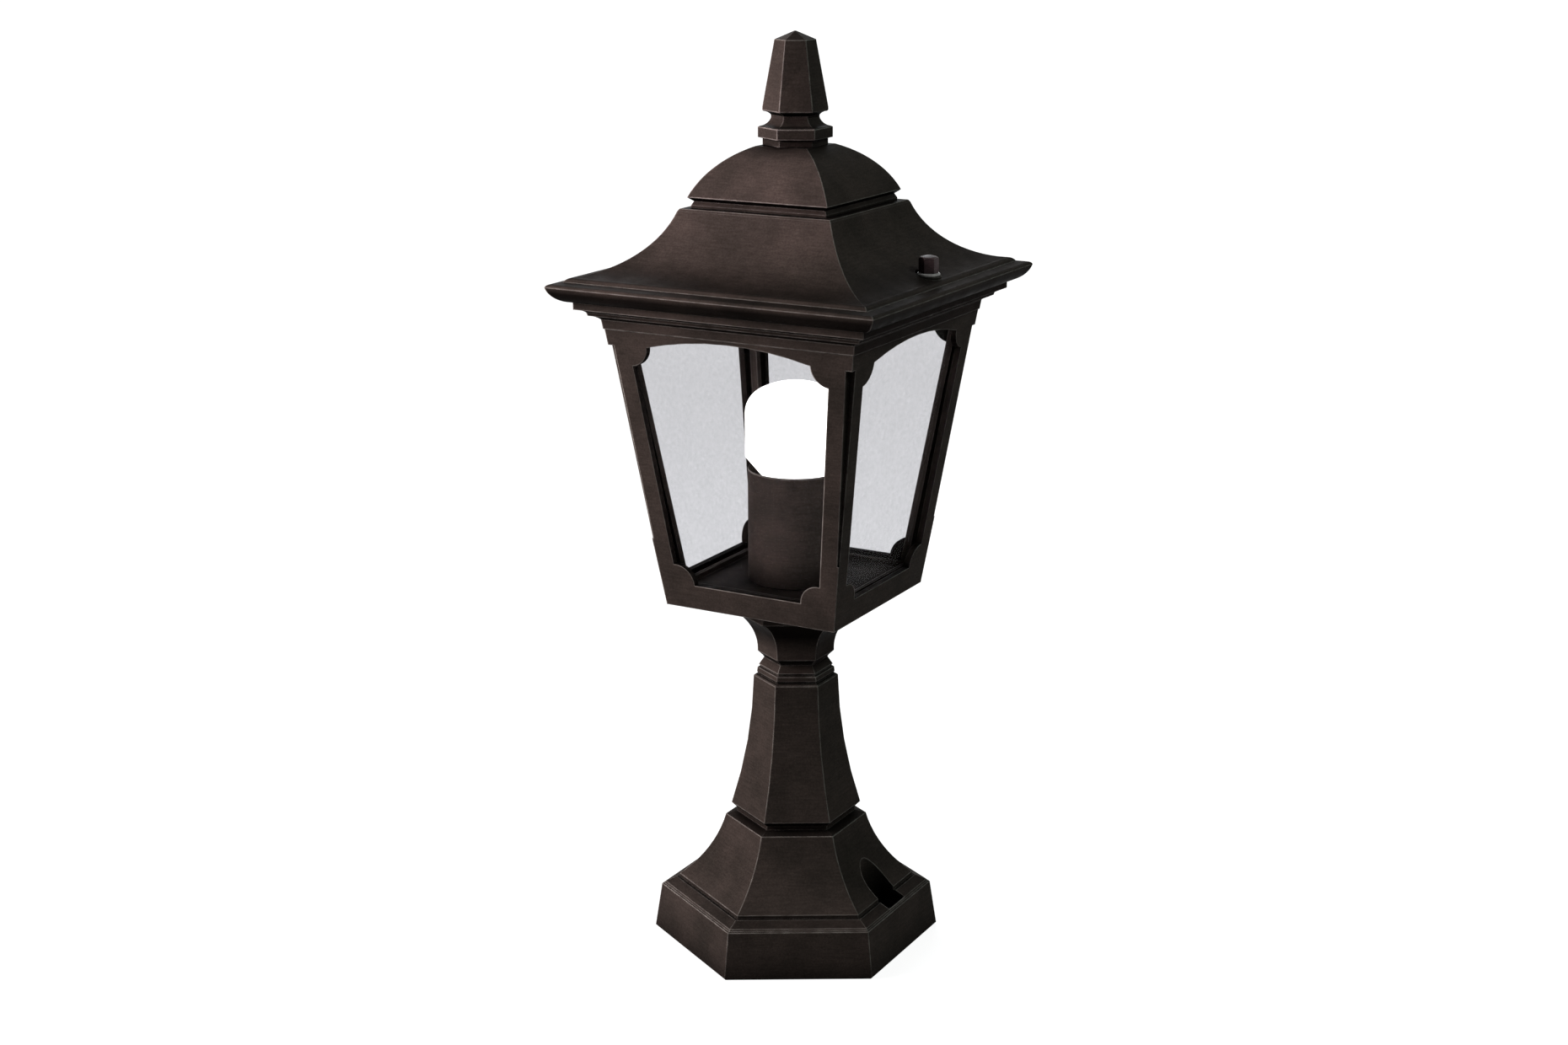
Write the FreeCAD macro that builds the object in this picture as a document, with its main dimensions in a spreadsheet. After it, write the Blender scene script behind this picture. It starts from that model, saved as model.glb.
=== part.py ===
import FreeCAD, Part
import math
import os
import re

import Sketcher

# A post top lantern: a square glazed lantern head on a hexagonal column and foot, all cast in
# aluminium and held together by one hollow threaded tube up the middle. Millimetres, +Z up. The
# origin is the middle of the foot's underside. The flats of the hexagonal castings and the faces
# of the square head stand square to X, and the roof's two nuts and the foot's two fixing wells
# lie on the X axis.

# Driving sizes: name, number, what it measures. Widths are across opposite flat faces.
SIZES = (
    ("rim_width", 155, "foot, across flats where it stands"),
    ("rim_taper", 3.9, "how far the upright rim leans in, on each side"),
    ("rim_height", 29.6, "height of the upright rim"),
    ("rim_chamfer", 1.2, "small chamfer round the foot's bottom edge"),
    ("rim_ledge", 0.7, "narrow sloping ledge between the band and the rim's upper edge"),
    ("rim_ledge_rise", 0.5, "how far that ledge rises inwards"),
    ("band_inset", 1.9, "from the rim's top in to the moulded band's lower edge"),
    ("band_low_height", 31.2, "height of that edge"),
    ("band_slope", 6.2, "how far the band slopes in, on each side"),
    ("band_top_height", 34.2, "height of that edge"),
    ("flare_inset", 1.7, "step from the band's upper edge in to the flare"),
    ("flare_low_height", 36.4, "height of the flare's bottom edge"),
    ("flare_top_width", 75.6, "top of the hollow flare"),
    ("flare_top_height", 74.6, "height of the flare's top edge"),
    ("flare_bow", 3.8, "how far the flare's curve hollows from a straight line"),
    ("foot_neck_width", 64, "recessed neck between foot and column"),
    ("foot_neck_low", 78.6, "height where the recessed neck starts"),
    ("foot_height", 82, "top of the foot, where the column stands"),
    ("foot_wall", 5, "wall of the foot casting"),
    ("foot_rim_wall", 6, "wall of the foot casting at its bottom edge"),
    ("foot_deck", 7, "thickness of the foot's top deck"),
    ("spigot_height", 3, "height of the spigots"),
    ("well_radius", 10.5, "half the width of a fixing well"),
    ("well_wall", 3.5, "wall round a fixing well"),
    ("well_floor", 6, "thickness under a fixing screw"),
    ("well_margin", 6, "from the rim's face to the outer end of a well, on the axis"),
    ("well_run", 14, "from the outer end of a well to the middle of its hole"),
    ("fixing_hole", 8.5, "diameter of a fixing hole"),
    ("column_edge_width", 70, "column, its widest edge just above the foot"),
    ("column_edge_height", 2.6, "height of that edge above the column's base"),
    ("column_base_width", 65.2, "column, where it stands on the foot"),
    ("column_top_width", 45.2, "column, top of its long curve"),
    ("column_curve_height", 87, "height of the long curve's top above the column's base"),
    ("column_bow", 2.7, "how far the long curve hollows from a straight line"),
    ("column_ring_width", 41.6, "lower ring at the column's head"),
    ("column_ring_low", 1.3, "height of that ring's underside above the long curve"),
    ("column_ring_high", 5.4, "height of that ring's top"),
    ("column_collar_width", 39.6, "upper ring at the column's head, its lower edge"),
    ("column_collar_low", 6.6, "height of the upper ring's underside above the long curve"),
    ("small_edge", 0.6, "small slopes and steps at the edges of the mouldings"),
    ("column_head_width", 34, "top of the column"),
    ("column_height", 98.9, "height of the column"),
    ("column_wall", 4.6, "wall of the column casting"),
    ("column_deck", 7, "thickness of the column's top deck"),
    ("cup_edge_width", 40.8, "neck cup, its lower edge"),
    ("cup_edge_height", 4.1, "height of that edge above the cup's base"),
    ("cup_bow", 4, "how far the cup's curve hollows from a straight line"),
    ("cup_curve_width", 68, "cup, top of the hollow curve"),
    ("cup_curve_height", 30.7, "height of the curve's top above the cup's base"),
    ("cup_top_width", 71, "collar under the lantern's floor"),
    ("cup_height", 47.6, "height of the neck cup"),
    ("cup_wall", 4.6, "wall of the cup casting"),
    ("cup_mouth_wall", 5.5, "wall of the cup casting at the top of its curve"),
    ("cup_deck", 5, "thickness of the cup's bottom deck"),
    ("head_spigot_width", 18, "hexagonal spigot between column and cup"),
    ("frame_low_width", 114.4, "lantern frame, across its faces at the bottom edge"),
    ("frame_lean", 0.1428, "how far a face leans out for each millimetre of height"),
    ("frame_skirt", 6.5, "depth of the frame's bottom edge below the floor's underside"),
    ("frame_height", 186.9, "height of the lantern frame"),
    ("frame_wall", 4, "thickness of the frame's plates"),
    ("floor_thickness", 4, "thickness of the lantern's floor"),
    ("rail_height", 15.2, "height of the bottom rail"),
    ("stile_low", 11.27, "width of a corner beside a window, at the bottom rail"),
    ("stile_high", 14.58, "the same at the spring of the arch"),
    ("window_head", 18.6, "from the top of the arch up to the frame's top"),
    ("arch_rise", 6.7, "rise of the shallow arch"),
    ("lobe_radius", 12, "rounded lobe in each corner of a window"),
    ("lobe_low_bow", 4, "how far a lower lobe rounds off its corner"),
    ("lobe_high_bow", 3, "how far an upper lobe rounds off its corner"),
    ("rebate_drop", 25.9, "from the frame's top down to the top of a corner rebate"),
    ("rebate_low", 42, "corner rebate, its bottom above the frame's bottom edge"),
    ("rebate_top_depth", 4, "depth of the corner rebate at its top"),
    ("rebate_low_depth", 1, "depth of the corner rebate at its bottom"),
    ("frieze_drop", 16.4, "from the frame's top down to the frieze's raised band"),
    ("frieze_step", 0.6, "how far the frieze's band stands proud"),
    ("cornice_drop", 10.9, "from the frame's top down to the start of the cornice"),
    ("fascia_projection", 5.4, "from the cornice's middle step out to its upright face"),
    ("cornice_projection", 10.511, "from the frame's face out to the cornice's upright face"),
    ("fascia_height", 4.3, "height of that upright face"),
    ("cove_drop", 2, "height of each of the cornice's two coves"),
    ("cove_bow", 0.55, "how far a cove hollows from a straight line"),
    ("opening_margin", 1, "from the gasket in to the opening inside the cornice"),
    ("cornice_depth", 8, "depth of that opening"),
    ("pane_thickness", 3, "thickness of the glass"),
    ("pane_gap", 0.15, "clearance on each side of the glass"),
    ("pane_edge", 9.5, "from the frame's outer face to the glass edge, at a corner"),
    ("pane_drop", 6.8, "from the cornice's opening down to the top of the glass"),
    ("channel_depth", 4.7, "how far the bar behind the glass reaches along it"),
    ("bead_height", 3.5, "bead on the floor behind the glass"),
    ("bead_width", 2.5, "thickness of that bead"),
    ("clip_width", 12, "width of a pane clip"),
    ("clip_thickness", 1, "sheet thickness of a pane clip"),
    ("clip_drop", 9.5, "how far the clip's tongue reaches below the cornice opening"),
    ("clip_pad_height", 6.8, "height of the clip's upright pad"),
    ("clip_offset", 24, "from the middle of a face to its clip"),
    ("clip_inset", 1.2, "from the frame's top down to the clip's pad"),
    ("eave_overhang", 11, "from the roof's seat out to the tip of the eave"),
    ("eave_tip_height", 8.3, "height of the eave's tip above the roof's seat"),
    ("eave_bow", 2.3, "how far the underside of the eave rounds out"),
    ("eave_edge_bow", 0.4, "how far the eave's upper edge rounds out"),
    ("rim_inset", 2.4, "from the tip of the eave in to the rim's flat top"),
    ("rim_outer_height", 10.1, "height of that edge above the seat"),
    ("rim_flat", 5.1, "width of the rim's flat top"),
    ("rim_inner_height", 11.3, "height of that edge above the seat"),
    ("sweep_inset", 1.7, "from the rim's flat top in to the long hollow curve"),
    ("sweep_low_height", 13.9, "height of the curve's bottom above the seat"),
    ("sweep_top_width", 100.4, "roof, top of the long hollow curve"),
    ("sweep_top_height", 50.3, "height of the curve's top above the seat"),
    ("sweep_bow", 8.4, "how far the long curve hollows from a straight line"),
    ("sweep_inner_bow", 4.6, "the same for the inside of the casting"),
    ("skirt_top_width", 98.4, "roof skirt, across its flat top"),
    ("skirt_height", 51.6, "height of the roof skirt"),
    ("skirt_wall", 4, "wall of the roof casting"),
    ("skirt_deck", 4, "thickness of the skirt's top deck"),
    ("skirt_shoulder", 6, "from the skirt's flat top down to the end of its inner curve"),
    ("seat_overhang", 0.6, "how far the roof's seat stands past the cornice"),
    ("seat_lip", 0.5, "how far the roof's seat stands in past the cornice opening"),
    ("gasket_margin", 1.9, "from the cornice's face in to the gasket"),
    ("gasket_width", 11, "width of the gasket's strip"),
    ("gasket_thickness", 1.5, "thickness of the roof gasket"),
    ("gasket_gap", 0.2, "clearance round the gasket in its groove"),
    ("dome_inset", 4.8, "from the edge of the roof skirt's top in to the dome's plinth"),
    ("dome_plinth_height", 1.6, "height of the plinth"),
    ("dome_groove_depth", 2.9, "depth of the groove under the dome's edge"),
    ("dome_groove_height", 4, "height of the groove's bottom"),
    ("dome_edge_width", 92, "dome, its lower edge"),
    ("dome_edge_height", 6.9, "height of the dome's lower edge"),
    ("dome_bow", 4, "how far the dome's curve rounds out"),
    ("dome_inner_bow", 2.5, "the same for the inside of the casting"),
    ("dome_top_width", 34, "flat top of the dome"),
    ("dome_height", 34.5, "height of the dome"),
    ("dome_wall", 4, "wall of the dome casting"),
    ("dome_crown_wall", 6.4, "thickness of the dome's crown"),
    ("finial_base_width", 33, "finial, its base"),
    ("finial_ring_width", 37.8, "finial, its ring"),
    ("finial_ring_low", 4.4, "height of the ring's underside"),
    ("finial_ring_high", 11, "height of the ring's top"),
    ("finial_neck_width", 24.4, "finial, its neck"),
    ("finial_neck_height", 16, "height of the neck"),
    ("finial_cove_bow", 1.1, "how far the cove under the neck hollows"),
    ("finial_throat_bow", 0.5, "how far the throat above the neck hollows"),
    ("finial_body_width", 33.2, "finial, its widest edge"),
    ("finial_body_low", 20, "height of the widest edge's underside"),
    ("finial_edge", 1.8, "height of the widest edge"),
    ("finial_top_width", 20.8, "finial, its shoulder"),
    ("finial_shoulder", 60.2, "height of the shoulder"),
    ("finial_height", 65, "height of the finial"),
    ("finial_tip_width", 1, "blunt tip of the finial"),
    ("stud_diameter", 6, "threaded studs for the roof and the finial"),
    ("stud_depth", 6.5, "length of a roof stud in the frame"),
    ("stud_rise", 9.2, "height of a stud's end above the nut's seat"),
    ("stud_gap", 0.5, "clearance round a roof stud in the roof"),
    ("nut_gap", 0.3, "clearance round a stud inside its cap nut"),
    ("nut_seat_height", 16.4, "height of the nut's level pad above the roof's seat"),
    ("nut_pad_width", 15, "diameter of the level pad"),
    ("nut_flange_width", 13.6, "diameter of the cap nut's flange"),
    ("nut_flange_height", 1.8, "thickness of the flange"),
    ("nut_width", 10, "cap nut and stud nut, across flats"),
    ("nut_hex_height", 6.6, "height of the cap nut's hexagon with its flange"),
    ("nut_height", 12.2, "height of the cap nut"),
    ("nut_crown_width", 5, "cap nut, across the flat of its crown"),
    ("stud_nut_height", 5, "height of the finial stud's nut"),
    ("stud_washer_width", 18, "width of the finial stud's square washer"),
    ("stud_washer_thickness", 1.6, "thickness of that washer"),
    ("stud_in_finial", 24, "length of the stud inside the finial"),
    ("stud_end", 2, "length of the finial's stud below its nut"),
    ("tube_diameter", 10, "hollow threaded tube up the middle"),
    ("tube_bore", 7.8, "bore of that tube"),
    ("tube_below", 13, "length of the tube below the foot's deck"),
    ("tube_gap", 0.3, "clearance round the tube in the castings"),
    ("tube_nut_width", 17, "tube nuts, across flats"),
    ("foot_nut_height", 5, "height of the nut under the foot's deck"),
    ("floor_nut_height", 3.5, "height of the nut on the lantern's floor"),
    ("tube_washer_width", 22, "width of the tube's square washers"),
    ("tube_washer_thickness", 1.5, "thickness of the tube's washers"),
    ("sleeve_diameter", 57.8, "sleeve round the lampholder"),
    ("sleeve_height", 69, "height of the sleeve"),
    ("sleeve_wall", 1, "wall of the sleeve"),
    ("holder_lift", 2.2, "gap between the floor nut and the lampholder"),
    ("holder_entry_depth", 6.5, "how far the tube screws into the lampholder"),
    ("holder_width", 38, "twelve-sided lampholder, across flats"),
    ("holder_cap_height", 18, "height of the lampholder's base"),
    ("holder_skirt_height", 29.5, "height of the lampholder's skirt"),
    ("holder_mouth_gap", 0.8, "clearance between the screw shell and the skirt"),
    ("shell_wall", 0.5, "thickness of the screw shell"),
    ("lamp_gap", 0.4, "clearance between the lamp's cap and the screw shell"),
    ("shell_height", 23, "height of the screw shell"),
    ("contact_thickness", 0.6, "thickness of the lampholder's centre contact"),
    ("contact_length", 14, "length of the centre contact"),
    ("contact_width", 5, "width of the centre contact"),
    ("lamp_contact_gap", 0.1, "between the lamp's contact and the lampholder's"),
    ("lamp_tip_width", 7, "lamp, its contact button"),
    ("lamp_tip_height", 1.7, "height of the contact button"),
    ("lamp_insulator_height", 3, "height of the lamp's black insulator"),
    ("lamp_insulator_width", 16, "lamp, its insulator"),
    ("lamp_cap_diameter", 26.2, "lamp, its screw cap"),
    ("lamp_cap_height", 22, "height of the screw cap"),
    ("lamp_neck_step", 0.7, "how far the bulb's neck stands out from the cap"),
    ("lamp_neck_height", 2.5, "height of the neck"),
    ("lamp_diameter", 60.6, "lamp, its bulb"),
    ("lamp_slope_height", 23, "top of the neck's slope above the cap"),
    ("lamp_side_height", 49, "top of the bulb's upright side above the cap"),
    ("lamp_corner_bow", 2.4, "how far the corner below the bulb's crown rounds out"),
    ("lamp_crown_width", 43, "bulb, its crown above that corner"),
    ("lamp_crown_bow", 5.1, "rise of the crown"),
    ("lamp_glass_wall", 1, "thickness of the bulb's glass"),
    ("lamp_staves", 16, "number of flat-sided staves that make up the round bulb"),
    ("lamp_height", 95.1, "height of the whole lamp"),
    ("block_length", 26, "terminal block"),
    ("block_width", 9.5, "width of the terminal block"),
    ("block_height", 13, "height of the terminal block"),
    ("block_offset", 17.3, "from the axis to the block's middle"),
    ("pole_spacing", 8, "distance between the block's poles"),
    ("pole_slot", 1.6, "width of the slots between the poles"),
    ("pole_slot_depth", 4, "depth of those slots"),
    ("earth_offset", 18, "from the axis to the earth tag"),
    ("earth_tag_length", 14, "length of the earth tag"),
    ("earth_tag_width", 8, "width of the earth tag"),
    ("earth_tag_thickness", 0.8, "thickness of the earth tag"),
    ("reach", 300, "length of the shapes that are cut to a mitre"),
)

# Heights and widths that several pieces share, worked out from the driving sizes.
LEVELS = (
    ("rim_top_width", "rim_width - 2 * rim_taper"),
    ("band_low_width", "rim_top_width - 2 * band_inset"),
    ("band_top_width", "band_low_width - 2 * band_slope"),
    ("flare_low_width", "band_top_width - 2 * flare_inset"),
    ("spigot_width", "foot_neck_width - 2 * foot_wall"),
    ("well_end", "rim_width - 2 * well_margin"),
    ("fixing_spacing", "well_end - 2 * well_run"),
    ("window_height", "frame_height - rail_height - arch_rise - window_head"),
    ("window_low_width", "frame_low_width + 2 * (frame_lean * rail_height - stile_low)"),
    ("window_high_width",
     "frame_low_width + 2 * (frame_lean * (rail_height + window_height) - stile_high)"),
    ("rebate_top", "frame_height - rebate_drop"),
    ("frieze_height", "frame_height - frieze_drop"),
    ("cornice_start", "frame_height - cornice_drop"),
    ("fascia_width", "frame_low_width + 2 * (frame_lean * frame_height + cornice_projection)"),
    ("cornice_middle_width", "fascia_width - 2 * fascia_projection"),
    ("gasket_outer_width", "fascia_width - 2 * gasket_margin"),
    ("stud_spacing", "gasket_outer_width - gasket_width"),
    ("cornice_opening", "gasket_outer_width - 2 * gasket_width - 2 * opening_margin"),
    ("seat_opening", "cornice_opening - 2 * seat_lip"),
    ("seat_width", "fascia_width + 2 * seat_overhang"),
    ("eave_width", "seat_width + 2 * eave_overhang"),
    ("rim_outer_width", "eave_width - 2 * rim_inset"),
    ("rim_inner_width", "rim_outer_width - 2 * rim_flat"),
    ("sweep_low_width", "rim_inner_width - 2 * sweep_inset"),
    ("dome_plinth_width", "skirt_top_width - 2 * dome_inset"),
    ("dome_groove_width", "dome_edge_width - 2 * dome_groove_depth"),
    ("shell_diameter", "lamp_cap_diameter + 2 * (lamp_gap + shell_wall)"),
    ("holder_mouth", "shell_diameter + 2 * holder_mouth_gap"),
    ("lamp_neck_width", "lamp_cap_diameter + 2 * lamp_neck_step"),
    ("foot_under_deck", "foot_height - foot_deck"),
    ("column_head", "foot_height + column_height"),
    ("column_under_deck", "column_head - column_deck"),
    ("cup_base", "column_head"),
    ("floor_under", "cup_base + cup_height"),
    ("frame_base", "floor_under - frame_skirt"),
    ("floor_top", "floor_under + floor_thickness"),
    ("frame_half", "frame_low_width / 2"),
    ("frame_top", "frame_base + frame_height"),
    ("window_sill", "frame_base + rail_height"),
    ("arch_spring", "window_sill + window_height"),
    ("pane_base", "floor_top"),
    ("pane_top", "frame_top - cornice_depth - pane_drop"),
    ("pane_low_half", "frame_half + frame_lean * (pane_base - frame_base) - frame_wall - pane_gap"),
    ("pane_high_half", "frame_half + frame_lean * (pane_top - frame_base) - frame_wall - pane_gap"),
    ("skirt_base", "frame_top"),
    ("skirt_top", "skirt_base + skirt_height"),
    ("nut_seat", "skirt_base + nut_seat_height"),
    ("dome_base", "skirt_top"),
    ("dome_top", "dome_base + dome_height"),
    ("finial_base", "dome_top"),
    ("sleeve_floor", "floor_top + sleeve_wall"),
    ("floor_nut_base", "sleeve_floor + tube_washer_thickness"),
    ("holder_base", "floor_nut_base + floor_nut_height + holder_lift"),
    ("holder_floor", "holder_base + holder_cap_height"),
    ("lamp_base", "holder_floor + contact_thickness + lamp_contact_gap"),
    ("lamp_cap_base", "lamp_base + lamp_tip_height + lamp_insulator_height"),
    ("lamp_cap_top", "lamp_cap_base + lamp_cap_height"),
    ("lamp_top", "lamp_base + lamp_height"),
    ("tube_base", "foot_under_deck - tube_below"),
    ("tube_top", "holder_base + holder_entry_depth"),
)

# Sides of the mitred shapes.
SQUARE = 4
HEXAGON = 6
HOLDER_FLATS = 12

document = FreeCAD.newDocument("post_top_lantern")
SHEET_OF = {}


def fill_sheet(name, rows, sign):
    """Writes one sheet, one size to a row, each with its alias."""
    sheet = document.addObject("Spreadsheet::Sheet", name)
    for row, entry in enumerate(rows, start=1):
        sheet.set(f"A{row}", entry[0])
        sheet.set(f"B{row}", sign + (formula(entry[1]) if sign else str(entry[1])))
        if len(entry) > 2:
            sheet.set(f"C{row}", entry[2])
        sheet.setAlias(f"B{row}", entry[0])
        SHEET_OF[entry[0]] = name
    document.recompute()
    return sheet


def formula(text):
    """Puts the sheet's name in front of every alias in a formula."""
    def named(word):
        return f"{SHEET_OF[word]}.{word}" if word in SHEET_OF else word
    return re.sub(r"[a-z_]+", lambda found: named(found.group()), str(text))


def value(text):
    """The present value of a formula."""
    return float(sizes.evalExpression(formula(text)))


def bind(piece, **bindings):
    """Binds properties of a piece to formulas."""
    for name, text in bindings.items():
        piece.setExpression(name.replace("__", "."), formula(text))
    return piece


sizes = fill_sheet("Sizes", SIZES, "")
levels = fill_sheet("Levels", LEVELS, "=")

UPRIGHT = FreeCAD.Rotation(FreeCAD.Vector(1, 0, 0), 90)
AXIS_Z = FreeCAD.Vector(0, 0, 1)


def turned_about_axis(degrees):
    """A placement turned about the lantern's upright axis."""
    return FreeCAD.Placement(FreeCAD.Vector(), FreeCAD.Rotation(AXIS_Z, degrees))


def arc_radius(first, last, bow):
    """Formula for the radius of an arc between two corners that bows off its chord."""
    chord_squared = f"((({last[0]}) - ({first[0]})) ^ 2 + (({last[1]}) - ({first[1]})) ^ 2)"
    return f"(({chord_squared} / 4 + ({bow}) ^ 2) / (2 * ({bow})))"


def two_flats(first, last, bow, side):
    """Two corners that stand for an arc on the hidden side of a wall: its middle and its end."""
    run = f"(({last[0]}) - ({first[0]}))"
    rise = f"(({last[1]}) - ({first[1]}))"
    share = f"{side} * ({bow}) / sqrt({run} ^ 2 + {rise} ^ 2)"
    middle = (f"(({first[0]}) + ({last[0]})) / 2 + {share} * {rise}",
              f"(({first[1]}) + ({last[1]})) / 2 - {share} * {run}")
    return [middle, last]


def arc_between(first, last, bow, side):
    """The arc from first to last. side is 1 with the centre on the left, or -1."""
    along = last - first
    radius = (along.Length ** 2 / 4 + bow ** 2) / (2 * bow)
    left = FreeCAD.Vector(-along.y, along.x, 0).normalize()
    centre = (first + last) / 2 + left * (radius - bow) * side
    start, end = (first, last) if side > 0 else (last, first)
    start_angle = math.atan2(start.y - centre.y, start.x - centre.x)
    end_angle = math.atan2(end.y - centre.y, end.x - centre.x)
    circle = Part.Circle(centre, AXIS_Z, radius)
    return Part.ArcOfCircle(circle, start_angle, end_angle)


def draw_outline(sketch, corners):
    """Draws a closed outline and binds every corner to its formulas.

    A corner is (across, up). With a bow and a side after them, an arc leads to that corner: the
    bow is its greatest distance from a straight line.
    """
    points = [FreeCAD.Vector(value(corner[0]), value(corner[1]), 0) for corner in corners]
    starts = []
    ends = []
    for index, corner in enumerate(corners):
        first = points[index - 1]
        last = points[index]
        if len(corner) > 2:
            sketch.addGeometry(arc_between(first, last, value(corner[2]), corner[3]), False)
            starts.append(1 if corner[3] > 0 else 2)
            ends.append(2 if corner[3] > 0 else 1)
        else:
            sketch.addGeometry(Part.LineSegment(first, last), False)
            starts.append(1)
            ends.append(2)
    for index, corner in enumerate(corners):
        following = (index + 1) % len(corners)
        sketch.addConstraint(Sketcher.Constraint(
            "Coincident", index, ends[index], following, starts[following]))
        for kind, text, place in (("DistanceX", corner[0], points[index].x),
                                  ("DistanceY", corner[1], points[index].y)):
            if text == "0":
                axis = -2 if kind == "DistanceX" else -1
                sketch.addConstraint(Sketcher.Constraint("PointOnObject", index, ends[index], axis))
                continue
            number = sketch.addConstraint(Sketcher.Constraint(
                kind, -1, 1, index, ends[index], place))
            sketch.setExpression(f"Constraints[{number}]", formula(text))
        if len(corner) > 2:
            radius = arc_radius(corners[index - 1], corner, corner[2])
            number = sketch.addConstraint(Sketcher.Constraint("Radius", index, value(radius)))
            sketch.setExpression(f"Constraints[{number}]", formula(radius))
    return sketch


def mirrored(corners, crown=()):
    """A half outline, listed from the bottom up, closed by its mirror image.

    crown is the bow and side of an arc across the top, if there is one.
    """
    left = []
    arc = crown
    for corner in reversed(corners):
        left.append((f"-({corner[0]})", corner[1], *arc))
        arc = corner[2:]
    return [*corners, *left]


def mitred(name, corners, sides, crown=()):
    """A moulding with the same outline on every side of a regular polygon.

    The outline's extrusion along one pair of sides is crossed with its turned copies, so each
    moulding meets the next in a true mitre. crown is the arc across the outline's top, if any.
    """
    sketch = document.addObject("Sketcher::SketchObject", name + "_outline")
    sketch.Placement = FreeCAD.Placement(FreeCAD.Vector(), UPRIGHT)
    draw_outline(sketch, mirrored(corners, crown))
    bars = []
    for turn in range(sides // 2):
        bar = document.addObject("Part::Extrusion", f"{name}_bar")
        bar.Base = sketch
        bar.DirMode = "Normal"
        bar.Symmetric = True
        bar.Solid = True
        bind(bar, LengthFwd="reach")
        bar.Placement = turned_about_axis(360 / sides * turn)
        bars.append(bar)
    crossed = document.addObject("Part::MultiCommon", name)
    crossed.Shapes = bars
    return crossed


def cylinder(name, radius, height, up="0", across="0", deep="0"):
    """An upright cylinder."""
    piece = document.addObject("Part::Cylinder", name)
    return bind(piece, Radius=radius, Height=height, Placement__Base__x=across,
                Placement__Base__y=deep, Placement__Base__z=up)


def box(name, size, corner):
    """A box from its size and its lowest corner."""
    piece = document.addObject("Part::Box", name)
    return bind(piece, Length=size[0], Width=size[1], Height=size[2],
                Placement__Base__x=corner[0], Placement__Base__y=corner[1],
                Placement__Base__z=corner[2])


def prism(name, width, height, up):
    """An upright hexagonal bar, given its width across flats, with flats square to X."""
    piece = document.addObject("Part::Prism", name)
    piece.Polygon = HEXAGON
    bind(piece, Circumradius=f"({width}) / 2 / cos(30)", Height=height, Placement__Base__z=up)
    piece.Placement.Rotation = FreeCAD.Rotation(AXIS_Z, 30)
    return piece


def leaning_bar(name, low, high, low_across, high_across, low_deep, high_deep, turn):
    """A bar whose cross-section moves and grows evenly from one height to another.

    Each range is (near, far). It stands in the corner of the head between +X and -Y, and turn
    gives the quarter that it is turned to.
    """
    piece = document.addObject("Part::Wedge", name)
    bind(piece, Ymin=low, Ymax=high, Xmin=low_across[0], Xmax=low_across[1],
         X2min=high_across[0], X2max=high_across[1], Zmin=low_deep[0], Zmax=low_deep[1],
         Z2min=high_deep[0], Z2max=high_deep[1])
    piece.Placement = FreeCAD.Placement(
        FreeCAD.Vector(), FreeCAD.Rotation(AXIS_Z, 90 * turn).multiply(UPRIGHT))
    return piece


def cut(name, base, *tools):
    """The base less the tools."""
    tool = tools[0]
    if len(tools) > 1:
        tool = document.addObject("Part::MultiFuse", name + "_tools")
        tool.Shapes = list(tools)
    piece = document.addObject("Part::Cut", name)
    piece.Base = base
    piece.Tool = tool
    return piece


def fuse(name, *shapes):
    """Several shapes as one solid."""
    piece = document.addObject("Part::MultiFuse", name)
    piece.Shapes = list(shapes)
    piece.Refine = True
    return piece


def common(name, first, second):
    """What two shapes share."""
    piece = document.addObject("Part::MultiCommon", name)
    piece.Shapes = [first, second]
    return piece


def group(name, members):
    """Several separate solids under one name."""
    piece = document.addObject("Part::Compound", name)
    piece.Links = members
    return piece


def turned(name, corners):
    """A body of revolution about the upright axis, from a closed half outline."""
    body = document.addObject("PartDesign::Body", name)
    plane = next(part for part in body.Origin.OriginFeatures if part.Role == "XZ_Plane")
    sketch = body.newObject("Sketcher::SketchObject", name + "_outline")
    sketch.AttachmentSupport = [(plane, "")]
    sketch.MapMode = "FlatFace"
    draw_outline(sketch, corners)
    revolution = body.newObject("PartDesign::Revolution", name + "_turned")
    revolution.Profile = sketch
    revolution.ReferenceAxis = (sketch, ["V_Axis"])
    revolution.Angle = 360
    return body


def frame_half_at(height):
    """Formula for half the frame's width at a height."""
    return f"(frame_half + frame_lean * (({height}) - frame_base))"


def tube_hole(name, low, high):
    """A hole for the threaded tube."""
    return cylinder(name, "tube_diameter / 2 + tube_gap", f"({high}) - ({low})", low)


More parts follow.
